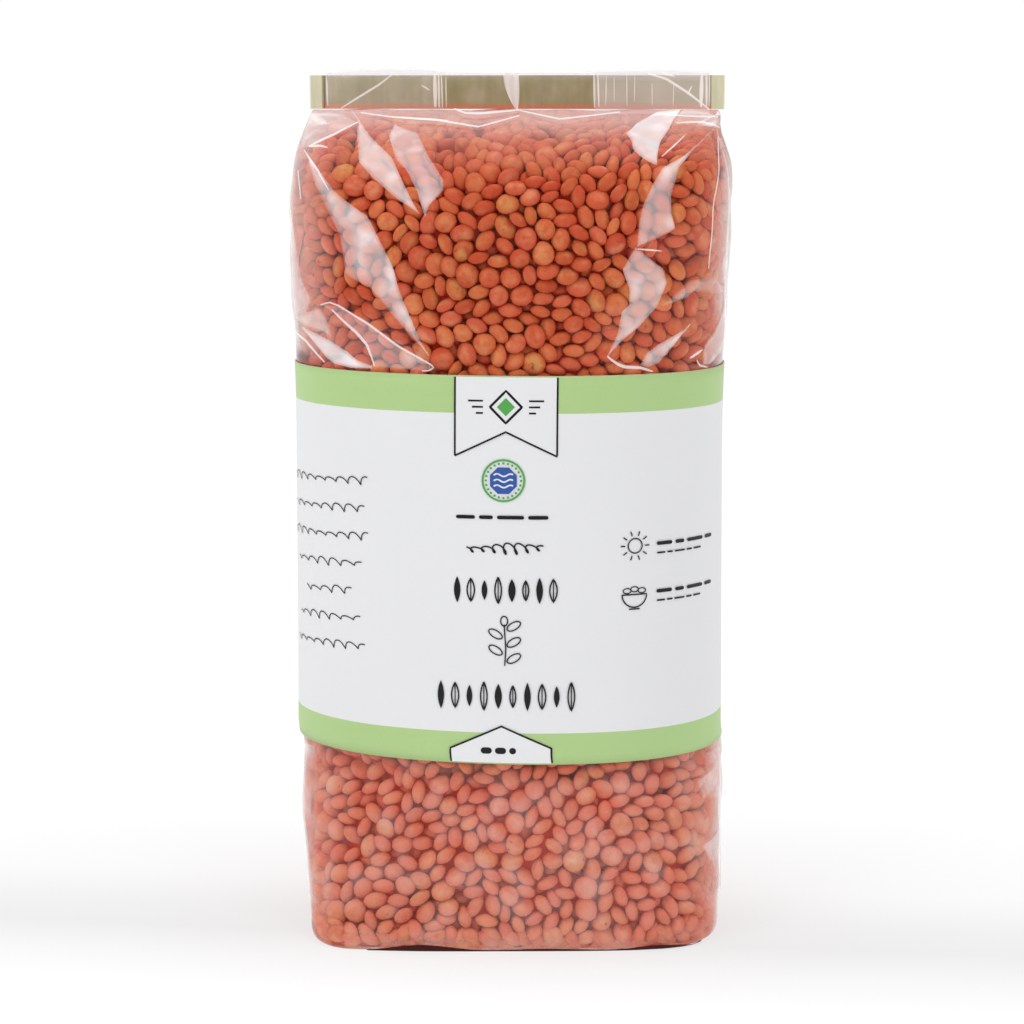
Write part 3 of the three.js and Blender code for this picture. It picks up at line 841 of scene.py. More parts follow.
labelLook = {"bottom": 44.4, "top": 135.0, "lowBand": 51.8, "highBand": 126.4, "lift": 0.34,
             "thickness": 0.26, "lapStart": 0.305, "lapShare": 0.04, "seam": 0.237, "seamHalf": 0.013,
             "overSeam": 0.7, "overLap": 0.6, "ripple": 0.12, "inkFrom": 0.14, "inkStep": 0.05}
printLook = {"scale": 1800.0, "spread": 0.1, "bump": 0.04, "roughness": 0.42, "gloss": 0.4}
paperLooks = {
    "paper": dict(printLook, colour=(0.86, 0.865, 0.88), scale=1500.0, spread=0.03, bump=0.06, roughness=0.5),
    "green": dict(printLook, colour=(0.47, 0.67, 0.28), scale=1500.0, spread=0.05, bump=0.05, gloss=0.45),
    "black": dict(printLook, colour=(0.012, 0.012, 0.013), spread=0.3, roughness=0.4),
    "blue": dict(printLook, colour=(0.035, 0.11, 0.42)),
    "leaf": dict(printLook, colour=(0.10, 0.42, 0.09)),
}
inks = {key: paperMaterial("label_" + key, look) for key, look in paperLooks.items()}


def labelLift(share):
    look = labelLook
    fromSeam = abs(share - look["seam"] - 1) / look["seamHalf"]
    overSeam = look["overSeam"] * (1 - easeStep(fromSeam, 1.4, 3.2))
    overLap = look["overLap"] * easeStep(share - look["lapStart"] - 1, -0.012, -0.002)
    return look["lift"] + overSeam + overLap


# The label: outer face, inner face and edges, with print bands as faces of their own
def buildLabel():
    look = labelLook
    shares = np.linspace(look["lapStart"], look["lapStart"] + 1 + look["lapShare"], 230)
    heights = np.concatenate([
        np.linspace(look["bottom"], look["lowBand"], 4),
        np.linspace(look["lowBand"], look["highBand"], 15)[1:],
        np.linspace(look["highBand"], look["top"], 4)[1:],
    ])
    share, height = np.meshgrid(shares, heights)
    place = placeOf(bag, height)
    ripple = look["ripple"] * np.sin(share * 2 * math.pi * 5.3) * np.sin(height * 0.05 + share * 17)
    lift = labelLift(share) + ripple * (0.4 + 0.6 * abs(height - 90) / 45)
    outer = offSurface(bag, share, place, lift + look["thickness"])
    inner = offSurface(bag, share, place, lift)
    rows, columns = share.shape
    count = rows * columns
    front = gridFaces(rows, columns)
    back = front[:, ::-1] + count
    bottom = np.array([(k, k + count, k + 1 + count, k + 1) for k in range(columns - 1)])
    top = bottom[:, ::-1] + (rows - 1) * columns
    starts = np.arange(rows - 1) * columns
    left = np.stack([starts, starts + columns, starts + columns + count, starts + count], 1)
    right = left[:, ::-1] + columns - 1
    faces = np.vstack([front, back, bottom, top, left, right])
    middle = (heights[:-1] + heights[1:]) / 2
    banded = ((middle < look["lowBand"]) | (middle > look["highBand"])).astype(int)
    chosen = np.concatenate([np.repeat(banded, columns - 1), np.zeros(len(faces) - len(front), int)])
    points = np.vstack([outer.reshape(-1, 3), inner.reshape(-1, 3)])
    piece = addPiece("label_sheet", points, faces, [inks["paper"], inks["green"]], "label_paper",
                     chosen=chosen)
    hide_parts("label")


# Print: flat shapes laid on the label, gathered by ink
printed = {}


def ink(colour, spots, faces, layer=1):
    spots = np.asarray(spots, float)
    store = printed.setdefault(colour, {"points": [], "faces": [], "count": 0})
    lift = labelLook["lift"] + labelLook["thickness"] + labelLook["inkFrom"] + labelLook["inkStep"] * layer
    store["points"].append(spotOn(spots[:, 0], spots[:, 1], lift))
    store["faces"] += [tuple(v + store["count"] for v in face) for face in faces]
    store["count"] += len(spots)


def readPath(path, lengths, at):
    return np.stack([np.interp(at, lengths, path[:, k]) for k in (0, 1)], 1)


# Unit lines square to a path's slope
def squareTo(slope):
    slope = slope / (np.linalg.norm(slope, axis=1, keepdims=True) + 1e-9)
    return np.stack([-slope[:, 1], slope[:, 0]], 1)


# A ribbon along a path, closed or open
def inkStroke(colour, path, width, closed=False, layer=1):
    path = np.array(path, float)
    if closed:
        path = np.vstack([path, path[:1]])
    reached = lengthsAlong(path)
    fine = readPath(path, reached, np.union1d(reached, np.arange(0, reached[-1], 0.9)))
    slope = np.gradient(fine, axis=0)
    if closed:
        slope[0] = slope[-1] = fine[1] - fine[-2]
    normal = squareTo(slope) * width / 2
    points = np.vstack([fine - normal, fine + normal])
    n = len(fine)
    faces = []
    for k in range(n - 1):
        faces += [(k, k + 1, k + 1 + n), (k, k + 1 + n, k + n)]
    ink(colour, points, faces, layer)


def inkFill(colour, outline, layer=1):
    outline = np.array(outline, float)
    n = len(outline)
    points = np.vstack([outline, outline.mean(0)])
    ink(colour, points, [(k, (k + 1) % n, n) for k in range(n)], layer)


# A panel between two edges, in columns, so that it follows the label's curve
def inkPanel(colour, corners, layer=1):
    acrosses = np.array([c[0] for c in corners], float)
    at = np.unique(np.concatenate([acrosses, np.arange(acrosses[0], acrosses[-1], 1.2)]))
    low = np.interp(at, acrosses, [c[1] for c in corners])
    high = np.interp(at, acrosses, [c[2] for c in corners])
    rows = 6
    points = np.concatenate([np.stack([at, low + (high - low) * t], 1) for t in np.linspace(0, 1, rows)])
    ink(colour, points, [tuple(face) for face in halved(gridFaces(rows, len(at)))], layer)


def ringPath(x, z, wide, high=None, sides=28, turn=0.0):
    high = wide if high is None else high
    angle = np.arange(sides) * 2 * math.pi / sides
    px, pz = wide * np.cos(angle), high * np.sin(angle)
    c, s = math.cos(turn), math.sin(turn)
    return np.stack([x + px * c - pz * s, z + px * s + pz * c], 1)


def printPennant():
    corners = [(-11.6, 116.6, 134.7), (0, 122.2, 134.7), (11.6, 116.6, 134.7)]
    inkPanel("paper", corners, 0)
    edge = [(-11.6, 134.7), (-11.6, 116.6), (0, 122.2), (11.6, 116.6), (11.6, 134.7)]
    inkStroke("black", edge, 0.42)
    diamond = [(0, 131.6), (3.6, 127.9), (0, 124.2), (-3.6, 127.9)]
    inkStroke("black", diamond, 0.55, closed=True)
    inkFill("leaf", [(0, 130.0), (2.05, 127.9), (0, 125.8), (-2.05, 127.9)])
    for side in (-1, 1):
        for k in range(3):
            inkStroke("black", [(side * 5.2, 129.3 - k * 1.4), (side * (8.6 - k * 0.9), 129.3 - k * 1.4)],
                      0.42)


def printSeal():
    inkStroke("leaf", ringPath(-0.5, 111.0, 4.75), 0.45, closed=True)
    for angle in np.arange(24) * math.pi / 12:
        inkFill("leaf", ringPath(-0.5 + 4.0 * math.cos(angle), 111.0 + 4.0 * math.sin(angle), 0.28, sides=8))
    inkFill("blue", ringPath(-0.5, 111.0, 3.3, sides=8, turn=0.39))
    for k in range(3):
        wave = [(-2.7 + t * 4.4, 112.3 - k * 1.3 + 0.3 * math.sin(t * 9)) for t in np.linspace(0, 1, 16)]
        inkStroke("paper", wave, 0.36, layer=2)


def printBars(colour, x, z, widths, high, gap=0.9):
    for width in widths:
        radius = high / 2
        turns = np.linspace(0, math.pi, 7)
        left = [(x + radius - radius * math.sin(t), z - radius * math.cos(t)) for t in turns]
        right = [(x + width - radius + radius * math.sin(t), z + radius * math.cos(t)) for t in turns]
        inkFill(colour, left + right)
        x += width + gap


# A handwritten-looking flourish with no letters: loops along a line
def printFlourish(colour, x, z, width, high, loops, weight, slope=0.0):
    t = np.linspace(0, 1, loops * 14)
    sway = np.sin(t * loops * 2 * math.pi)
    lift = high * (0.5 + 0.22 * np.sin(t * 7.3 + x)) * np.cos(t * loops * 2 * math.pi + 0.6)
    path = np.stack([x + width * t + 0.42 * high * sway * 0.6, z + lift * 0.55 + slope * t], 1)
    inkStroke(colour, path, weight)


# Tall slim pointed leaves in a row, every other one solid
def printLeafRow(x, z, count, pitch, high):
    for k in range(count):
        centre, wide, tall = x + k * pitch, 0.75 + 0.1 * math.sin(k * 2.1), high / 2 * (1 - 0.12 * (k % 3))
        rise = np.linspace(-1, 1, 12)
        right = [(centre + wide * (1 - t * t), z + tall * t) for t in rise]
        left = [(centre - wide * (1 - t * t), z + tall * t) for t in rise[::-1][1:-1]]
        if k % 2:
            inkStroke("black", right + left, 0.34, closed=True)
            inkStroke("black", [(centre, z - tall * 0.9), (centre, z + tall * 0.9)], 0.26)
        else:
            inkFill("black", right + left)


def printSprig():
    x, z = -0.3, 73.2
    inkStroke("black", [(x, z - 5.4), (x + 0.25, z - 1.5), (x, z + 2.4), (x - 0.1, z + 4.3)], 0.3)
    for k in range(5):
        side = -1 if k % 2 else 1
        rise = z - 4.4 + k * 1.9
        inkStroke("black", ringPath(x + side * 2.1, rise + 0.75, 1.75, 0.85, 18, turn=side * 0.55), 0.3,
                  closed=True)
    inkStroke("black", ringPath(x - 0.1, z + 5.1, 0.8, 1.15, 16), 0.3, closed=True)


def printHouse():
    corners = [(-13.0, 44.75, 47.9), (-1.1, 44.75, 53.4), (10.4, 44.75, 48.3)]
    inkPanel("paper", corners, 0)
    inkStroke("black", [(-13.0, 44.8), (-13.0, 47.9), (-1.1, 53.4), (10.4, 48.3), (10.4, 44.8)], 0.42)
    printBars("black", -5.9, 47.6, [2.6, 2.6, 1.6], 1.5, 0.7)


def printIcons():
    inkStroke("black", ringPath(29.8, 95.4, 1.7), 0.3, closed=True)
    for angle in np.arange(10) * math.pi / 5:
        c, s = math.cos(angle), math.sin(angle)
        inkStroke("black", [(29.8 + 2.4 * c, 95.4 + 2.4 * s), (29.8 + 3.5 * c, 95.4 + 3.5 * s)], 0.3)
    bowl = [(29.7 + 3.0 * math.cos(t), 84.0 + 3.0 * math.sin(t)) for t in np.linspace(math.pi, 2 * math.pi,
                                                                                      15)]
    inkStroke("black", bowl, 0.32, closed=True)
    inkStroke("black", [(28.4, 80.6), (31.0, 80.6)], 0.32)
    for k, x in enumerate((27.9, 29.7, 31.5)):
        inkStroke("black", ringPath(x, 84.9 + 0.35 * (k == 1), 0.95, 0.6, 14), 0.26, closed=True)
    for z in (95.6, 84.4):
        printBars("black", 35.2, z, [4.2, 2.6, 5.4, 3.0], 0.85)
        printBars("black", 35.3, z - 2.2, [2.2, 1.6, 3.0, 1.8, 2.6], 0.42, 0.5)


def buildPrint():
    printPennant()
    printSeal()
    printBars("black", -11.4, 102.5, [4.4, 3.2, 6.2, 4.6], 0.85)
    printFlourish("black", -9.0, 94.9, 17.6, 3.4, 7, 0.34, 0.6)
    printLeafRow(-11.2, 85.5, 8, 3.15, 6.2)
    printSprig()
    printLeafRow(-15.2, 60.5, 10, 3.35, 6.8)
    printHouse()
    for k in range(7):
        z = 108.2 - k * 6.55
        inset = [0, 1.5, 0, 3, 8, 4, 2][k]
        printFlourish("black", -62 + inset, z, 29 - inset * 1.6, 2.4, int(8 - inset / 2), 0.26, 1.4)
    printIcons()
    for colour, store in printed.items():
        addPiece("print_" + colour, np.vstack(store["points"]), np.array(store["faces"]), [inks[colour]],
                 "label_paper")


buildLabel()
buildPrint()
print("stage: label")


# Header
headerLook = {"top": 202.4, "half": 45.3, "outside": 1.05, "shift": 0.9, "bow": 0.5, "bowTurn": 8.2 / 98.0}
sleeveLook = dict(filmLook, gleam=1.0, bump=0.5, roughness=0.2, streaks=0.6, mirror=0.4,
                  milk=(0.97, 0.94, 1.0))
# proud is where its top stands up: place, reach and how much. The veils are its haze, plain and over folds
sleeveShape = {"from": 193.2, "to": 202.0, "proud": [(-29, 11, 0.75), (31, 12, 0.5)], "veil": 0.03,
               "leftVeil": 0.27, "rightVeil": 0.62, "topVeil": 0.4, "bulge": 0.16, "foldLift": 0.1}


def bowed(points):
    look = headerLook
    points = np.array(points, float)
    points[:, 1] += look["bow"] * np.sin(points[:, 0] * look["bowTurn"] + 0.8)
    points[:, 0] += look["shift"]
    return points


def buildHeaderFilm():
    look, shape = headerLook, sleeveShape
    wide = look["outside"]
    rim = [(wide * math.cos(t), look["top"] + wide * 0.5 * math.sin(t)) for t in np.linspace(0, math.pi, 9)]
    back = [(wide, z) for z in np.linspace(shape["from"], shape["to"], 9)]
    front = [(-wide, z) for z in np.linspace(shape["to"], shape["from"], 14)]
    section = back + rim + front
    across = np.linspace(-look["half"], look["half"] + 0.4, 240)
    proud = sum(most * np.exp(-(((across - at) / reach) ** 4)) for at, reach, most in shape["proud"])
    folds = np.where(across < 0, easeStep(-across, 16.9, 17.6), easeStep(across, 18.4, 19.2))
    veil = shape["veil"] + np.where(across < 0, shape["leftVeil"], shape["rightVeil"]) * folds
    points, hazes = [], []
    for y, z in section:
        upper = easeStep(z, 200.6, 202.4)
        bulge = shape["bulge"] * np.sin(across * 0.9 + z * 0.5) * np.sin(across * 0.23)
        stand = y + np.sign(y) * (bulge * 0.5 + shape["foldLift"] * folds)
        points.append(np.stack([across, stand, z + proud * upper], 1))
        hazes.append(veil + shape["topVeil"] * upper)
    faces = gridFaces(len(section), len(across))
    values = {"hazeAndSheen": np.concatenate(hazes)}
    material = filmMaterial("header_sleeve", sleeveLook)
    piece = addPiece("header_sleeve", bowed(np.vstack(points)), faces, [material], "film", values=values)
    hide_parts("header_film")


def evenly(path, count):
    path = np.array(path, float)
    reached = lengthsAlong(path)
    return readPath(path, reached, np.linspace(0, reached[-1], count))


# Narrow raised ribbons of film along lines; each line is its width and then its points
def ribbonOn(lines, pointAt):
    points, faces = [], []
    for width, *path in lines:
        path = np.array(path, float)
        fine = evenly(path, max(5, int(lengthsAlong(path)[-1] / 0.7)))
        taper = np.sin(np.linspace(0.25, math.pi - 0.25, len(fine)))[:, None] ** 0.6
        normal = squareTo(np.gradient(fine, axis=0)) * width / 2 * taper
        start = sum(len(p) for p in points)
        rows = [pointAt(fine - normal, 0.0), pointAt(fine, 0.18), pointAt(fine + normal, 0.0)]
        points.append(np.vstack(rows))
        faces.append(gridFaces(3, len(fine)) + start)
    return np.vstack(points), np.vstack(faces)


def onHeader(spots, lift):
    front = np.stack([spots[:, 0], np.full(len(spots), -headerLook["outside"] - 0.22 - lift), spots[:, 1]], 1)
    return bowed(front)


# White crease lines on the header sleeve: painted highlights, hazy ribbons that glow
headerHighlightLines = [
    [0.9, (-18.9, 194.7), (-19.0, 202.3)], [0.5, (-18.0, 194.6), (-18.1, 202.3)], [0.35, (-17.2, 194.6),
        (-17.4, 202.2)], [0.3, (-16.3, 194.7), (-16.4, 201.8)], [0.5, (18.7, 194.6), (18.5, 202.3)], [0.4,
        (19.7, 194.8), (19.4, 202.2)], [0.5, (-29.2, 202.2), (-32.3, 199.9), (-36.5, 197.4),
        (-41.5, 194.4)], [0.35, (-22.2, 199.8), (-20.2, 198.6)], [0.6, (31.2, 202.5), (35.5, 201.2),
        (40.6, 198), (45.6, 194.2)], [0.4, (34.5, 202.6), (37.4, 201.8)], [0.22, (26.2, 202.2),
        (26.3, 195)], [0.16, (28.1, 202.2), (28, 196)], [0.16, (23.2, 201.8), (23.3, 196)], [0.16,
        (32.1, 200.2), (32.2, 195)], [0.16, (37.2, 200), (37.1, 195)], [0.2, (21.4, 202), (21.3, 195)],
    [0.9, (43.6, 194.8), (43.7, 202.2)], [0.5, (44.9, 194.9), (44.8, 202.1)], [0.3, (45.5, 195),
        (45.5, 202)], [0.4, (-44.7, 195), (-44.9, 201.8)], [0.35, (40.4, 197.6), (41.4, 199.6)],
]


headerHighlightLook = dict(filmLook, gleam=0.4, roughness=0.3, mirror=0.0, paintedGlow=0.4)
curlLook = dict(filmLook, gleam=0.8, roughness=0.22, mirror=0.25, bump=0.4, streaks=0.2)
curlShape = {"rows": 26, "columns": 9, "top": 202.7, "long": 8.4, "left": 2.7, "wide": 3.5, "narrows": 0.82,
             "front": -1.42, "stand": 0.9}
weldLook = dict(filmLook, gleam=1.0, roughness=0.25, mirror=0.35, bump=0.6)
weldShape = {"heights": [(7, 46, 44), (50, 130, 10), (134, 188, 60)], "across": 9, "lift": 0.55,
             "underLabel": 0.2}


def evenHaze(points, value):
    return {"hazeAndSheen": np.full(len(points), value)}


def buildHeaderCreases():
    points, faces = ribbonOn(headerHighlightLines, onHeader)
    material = filmMaterial("header_crease_highlights", headerHighlightLook)
    addPiece("header_crease_highlights", points, faces, [material], "film", values=evenHaze(points, 0.62))


# The end of the back seam, folded over the header's middle: it stands off at its top and narrows to a point
def buildCurl():
    look = curlShape
    points, hazes = [], []
    for s in np.linspace(0, 1, look["rows"]):
        z = look["top"] - s * look["long"]
        left = look["left"] * s**2 - look["left"]
        width = look["wide"] * (1 - look["narrows"] * s**2.4)
        for t in np.linspace(0, 1, look["columns"]):
            stand = look["stand"] * (1 - s) ** 0.7 * (1 - t) ** 1.6
            points.append((left + width * t, look["front"] - stand - 0.12 * math.sin(t * 9 + s * 5), z))
            hazes.append(0.72 + 0.28 * math.sin(t * 5 + s * 2) ** 2)
    material = filmMaterial("seam_end", curlLook)
    piece = addPiece("seam_end", bowed(points), gridFaces(look["rows"], look["columns"]), [material], "film",
                     values={"hazeAndSheen": hazes})
    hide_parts("seam_curl")


def buildBackSeam():
    look = weldShape
    seam, half = labelLook["seam"], labelLook["seamHalf"]
    heights = np.concatenate([np.linspace(*span) for span in look["heights"]])
    share, height = np.meshgrid(np.linspace(seam - half, seam + half, look["across"]), heights)
    under = (height > 44) & (height < 136)
    free = look["lift"] + 0.05 * np.sin(height * 3.1) + 0.07 * np.sin(share * 700)
    lift = np.where(under, look["underLabel"], free)
    points = offSurface(bag, share, placeOf(bag, height), lift).reshape(-1, 3)
    material = filmMaterial("back_weld", weldLook)
    piece = addPiece("back_weld", points, gridFaces(*share.shape), [material], "film",
                     values=evenHaze(points, 0.22))
    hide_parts("back_seam")


# Folds of the film whose highlights are painted as milky haze: two edges, in millimetres round from the
# print's middle and up, and the painted haze at the first edge, down the middle and at the second edge
foldHighlightLook = dict(filmLook, gleam=0.3, roughness=0.3, mirror=0.0, bump=0.3, streaks=0.15,
                milk=(0.9, 0.93, 0.95), paintedGlow=0.22)
folds = {
    "kite_left": {"through": 0.5, "hazeAndSheen": (0.8, 0.92, 1.0), "edges": [[(-40.5, 193.1), (-38.2, 190.6),
        (-37.4, 187.2), (-36.4, 182.5), (-33.1, 179.7), (-26.1, 174.6), (-20.8, 171.3)], [(-40.5, 193.1),
        (-37.9, 190.8), (-32.1, 186), (-28.8, 183.4), (-24.4, 177), (-20.8, 171.3)]]},
    "kite_middle": {"hazeAndSheen": (0.95, 0.9, 0.86), "edges": [[(-29.6, 190.3), (-30.1, 188.1), (-28, 183.4),
        (-24.5, 180.3), (-21.5, 176), (-19.5, 170.6)], [(-29.6, 190.3), (-23.5, 188.6), (-20.6, 184),
        (-16.2, 178.8), (-15.8, 176.5), (-18.7, 173), (-19.5, 170.6)]]},
    "long_left": {"hazeAndSheen": (0.4, 0.9, 1.0), "edges": [[(-50.2, 184), (-46.8, 177.6), (-43.6, 173),
        (-39.7, 166.4), (-38.9, 162.1), (-38.1, 157.3), (-31.2, 154.2), (-23.5, 145.3), (-17.7, 139.3)],
        [(-50.2, 184), (-47.2, 181.8), (-40.8, 175.6), (-32.7, 170.6), (-26.2, 159), (-24.8, 154.4),
        (-19.9, 142.9), (-17.7, 139.3)]]},
    "pocket_left": {"hazeAndSheen": (0.66, 0.55, 0.5), "edges": [[(-53, 185.4), (-49.7, 185.4), (-43.2, 188),
        (-38.4, 190.7)], [(-51, 192.9), (-47, 193.1), (-43, 192.7), (-38.4, 190.7)]]},
    "edge_left": {"hazeAndSheen": (0.85, 0.8, 0.66), "edges": [[(-58, 172), (-59, 162), (-58.4, 152), (-58, 146.5)],
        [(-56.5, 172), (-54.4, 160), (-51.9, 154.7), (-48.8, 151.2), (-51, 148), (-57, 146.5)]]},
    "fan_left": {"hazeAndSheen": (0.75, 0.8, 0.7), "edges": [[(-57.9, 145.6), (-52.6, 144.8), (-46.2, 143.8),
        (-43, 142.9)], [(-57.9, 146.5), (-49.6, 148.2), (-46.2, 149.1), (-44.2, 147), (-43, 142.9)]]},
    "fan_low": {"through": 0.4, "hazeAndSheen": (0.9, 0.97, 0.9), "edges": [[(-54, 144.1), (-49.7, 141),
        (-45.5, 137.8), (-43.1, 136.4), (-37.4, 135.6), (-31.7, 135.8)], [(-54, 144.1), (-47.6, 142.9),
        (-42.8, 141.4), (-38.4, 139.3), (-35.6, 137.4), (-31.7, 136.4)]]},
    "loop_left": {"hazeAndSheen": (0.5, 0.36, 0.5), "edges": [[(-45, 150), (-38.9, 147), (-36.2, 144.6),
        (-33.3, 141.9), (-31.2, 136.4), (-19.2, 135.8)], [(-39.6, 149.9), (-32.1, 146), (-24.7, 141),
        (-17.7, 137.4), (-17.3, 136)]]},
    "low_left": {"hazeAndSheen": (0.06, 0.16, 0.04), "edges": [[(-60, 139), (-45, 136), (-22, 135.8)], [(-60, 151),
        (-46, 151), (-30, 147), (-18, 140)]]},
    "top_right": {"through": 0.4, "hazeAndSheen": (1.0, 1.0, 1.0), "edges": [[(24.4, 188.5), (25.6, 187.1),
        (26, 185.4), (27.4, 184), (29.9, 182.5), (31.3, 182)], [(24.4, 188.5), (26.6, 190.7), (31, 193.3),
        (36.5, 193.9), (35, 190.8), (32.3, 187.1), (31.7, 185), (31.3, 182)]]},
    "pocket_right": {"hazeAndSheen": (0.4, 0.36, 0.34), "edges": [[(35.3, 190.6), (40.4, 190.3), (44.8, 190),
        (49, 190)], [(37, 193.8), (39.6, 193.9), (42.7, 193.3), (46, 192)]]},
    "sweep_right": {"hazeAndSheen": (0.9, 0.82, 0.76), "edges": [[(46.4, 190.2), (40.3, 185.9), (37.5, 183.8),
        (32.6, 181.5), (30.7, 178.1), (29, 173.4), (28.2, 169.4), (28.2, 164.3)], [(46.4, 190.2),
        (40.1, 185.2), (36.3, 181.5), (35.1, 176), (35.6, 171.1), (36.7, 168.2), (32.4, 166),
        (28.2, 164.3)]]},
    "low_right": {"hazeAndSheen": (0.88, 0.86, 0.95), "edges": [[(27.8, 164.1), (25.4, 159), (27.3, 154.7),
        (27.5, 151.1), (25.8, 149.6), (25, 144.6), (22.8, 139.5)], [(27.8, 164.1), (33.5, 160),
        (34.7, 159.3), (36.1, 155.9), (34.1, 150.6), (29.8, 146), (26.5, 143.4), (22.8, 139.5)]]},
    "kite_right": {"hazeAndSheen": (0.9, 0.98, 0.98), "edges": [[(30.7, 137.2), (32.5, 136.6), (35.2, 137.4),
        (39, 141.4), (43.1, 146.2)], [(30.7, 137.2), (32, 139.8), (34.8, 141.7), (41.8, 145),
        (43.1, 146.2)]]},
    "wing_right": {"hazeAndSheen": (0.45, 0.5, 0.42), "edges": [[(35.7, 150.8), (41.8, 152.3), (43.5, 153.5),
        (46.7, 153.5), (52.6, 152.7), (58.4, 152.3)], [(35.7, 150.8), (40.4, 154.7), (42.1, 156.1),
        (45.7, 156.4), (49.3, 156.8), (54.8, 154.7), (58.4, 152.3)]]},
    "edge_right": {"hazeAndSheen": (0.85, 0.8, 0.7), "edges": [[(54.5, 162), (54.2, 158.8), (56, 155.4), (60, 152),
        (60, 149.9), (56.5, 147), (52.8, 143.6), (48.9, 140.7), (48.5, 136.2)], [(58, 162), (60, 158),
        (62, 153), (63.2, 149), (63, 145), (62.5, 141), (58, 138.5), (52, 136.2)]]},
    "side_right": {"hazeAndSheen": (0.26, 0.3, 0.4), "edges": [[(47.5, 187.9), (47.5, 176.5), (47.6, 170.8),
        (47.4, 165.3), (48.5, 155)], [(53, 187.5), (56, 180), (57.5, 172), (58, 164), (58, 155)]]},
    "foot_right": {"hazeAndSheen": (0.4, 0.45, 0.4), "edges": [[(46.6, 37.4), (48.8, 33.1)], [(57, 40),
        (57.5, 36.2)]]},
    "foot_right_low": {"hazeAndSheen": (0.4, 0.4, 0.35), "edges": [[(46, 22.5), (50.5, 16.5)], [(57, 24.5),
        (58, 19.5)]]},
    "foot_edge_right": {"hazeAndSheen": (0.04, 0.32, 0.6), "edges": [[(50, 43), (51, 33), (51.5, 22), (51, 10)],
        [(60, 43), (61, 33), (60.5, 22), (59, 9)]]},
    "foot_edge_left": {"hazeAndSheen": (0.85, 0.5, 0.06), "edges": [[(-61, 43), (-61, 30), (-60, 18), (-58, 9)],
        [(-52, 43), (-51.5, 30), (-51, 18), (-51, 9)]]},
}


# Near 0 on the lentils' crowns, near 1 between them
def gapAt(drapes, along, height):
    gap = np.zeros(np.shape(along))
    share = printCentre + along / girthAt(bag, placeOf(bag, height))
    for inside, depth in zoneDepths(drapes, share, height):
        gap = np.where(inside, easeStep(depth, 0.3, 0.8), gap)
    return gap


# through is how much of a fold's haze the gaps between lentils take away
foldShape = {"rows": 13, "columns": 40, "lift": 0.4, "swell": 0.35, "through": 0.62}


def buildFolds(drapes):
    look = foldShape
    rows, columns = look["rows"], look["columns"]
    points, faces, hazes = [], [], []
    start = 0
    for fold in folds.values():
        first, second = [evenly(edge, columns) for edge in fold["edges"]]
        wide = np.linalg.norm(second - first, axis=1)
        for t in np.linspace(0, 1, rows):
            spots = first + (second - first) * t
            along, height = spots.T
            points.append(spotOn(along, height, look["lift"] + look["swell"] * math.sin(math.pi * t)))
            soft = 0.55 + 0.45 * easeStep(np.minimum(t, 1 - t) * wide, 0, 0.9)
            hazeAndSheen = np.interp(t, (0, 0.5, 1), fold["hazeAndSheen"]) * soft
            hazes.append(hazeAndSheen * (1 - fold.get("through", look["through"]) * gapAt(drapes, along, height)))
        faces.append(gridFaces(rows, columns) + start)
        start += rows * columns
    addPiece("film_fold_highlights", np.vstack(points), np.vstack(faces), [filmMaterial("film_fold_highlights", foldHighlightLook)],
             "film", values={"hazeAndSheen": np.concatenate(hazes)})


# Thin bright crease lines on the bag: painted highlights, raised ribbons of hazy film that glow faintly
creaseHighlightLines = [
    [0.4, (-38.5, 192.7), (-30.8, 191.8), (-20.2, 191.2), (-9.8, 189.7), (-0.8, 192.1)], [0.35,
        (-29, 191.7), (-17.4, 191)], [0.5, (-16.5, 193.6), (-13.7, 192.7), (-10.2, 192.6), (-0.8, 193.4)],
    [0.35, (-0.8, 193.2), (8.8, 191.4), (22.5, 192.9)], [0.45, (-49.7, 185.4), (-43.2, 188),
        (-38.4, 190.7)], [0.45, (-51.2, 184.7), (-45.9, 180.3), (-42.5, 176.3)], [0.5, (-49.7, 185.4),
        (-46.5, 185.6), (-44.4, 185.2)], [0.45, (-52.4, 180.5), (-50.9, 174)], [0.55, (-45.1, 150.1),
        (-42.4, 150.8), (-39.6, 150.1), (-32.1, 146.2), (-24.7, 141.2), (-17.3, 137.4), (-16.5, 136.7),
        (-17.6, 135.9), (-19.2, 135.8)], [0.7, (-59.2, 143.1), (-52.3, 141), (-45.4, 136.4)], [0.7,
        (-41.8, 149.1), (-38.8, 146.7), (-35.4, 144.1), (-32.8, 141.4), (-31.4, 137.8), (-31, 136.4)], [0.3,
        (30.7, 192.6), (37.9, 192.1), (46, 191.9)], [0.35, (36, 190.6), (42, 190.9), (47.5, 189.8)], [0.35,
        (32.4, 183.5), (35.1, 185.6), (37.9, 188)], [0.4, (47.2, 187.5), (46.6, 182.7), (46.7, 177),
        (46.4, 171.8), (47, 165.3), (47.4, 158.8)], [0.4, (28.2, 163.8), (33.8, 163.3)], [0.7,
        (22.7, 139.5), (23.7, 138.6), (25.3, 137.5), (26.8, 136.9), (30.6, 136.6), (33.6, 135.6)], [0.5,
        (45.9, 137.6), (46.9, 136.2), (49.9, 135.5)], [0.7, (43.6, 138.1), (47.6, 139.8)],
]


def buildCreases():
    def onBag(spots, lift):
        return spotOn(spots[:, 0], spots[:, 1], 0.75 + lift)

    points, faces = ribbonOn(creaseHighlightLines, onBag)
    material = filmMaterial("film_creases", foldHighlightLook)
    addPiece("film_creases", points, faces, [material], "film", values=evenHaze(points, 0.68))


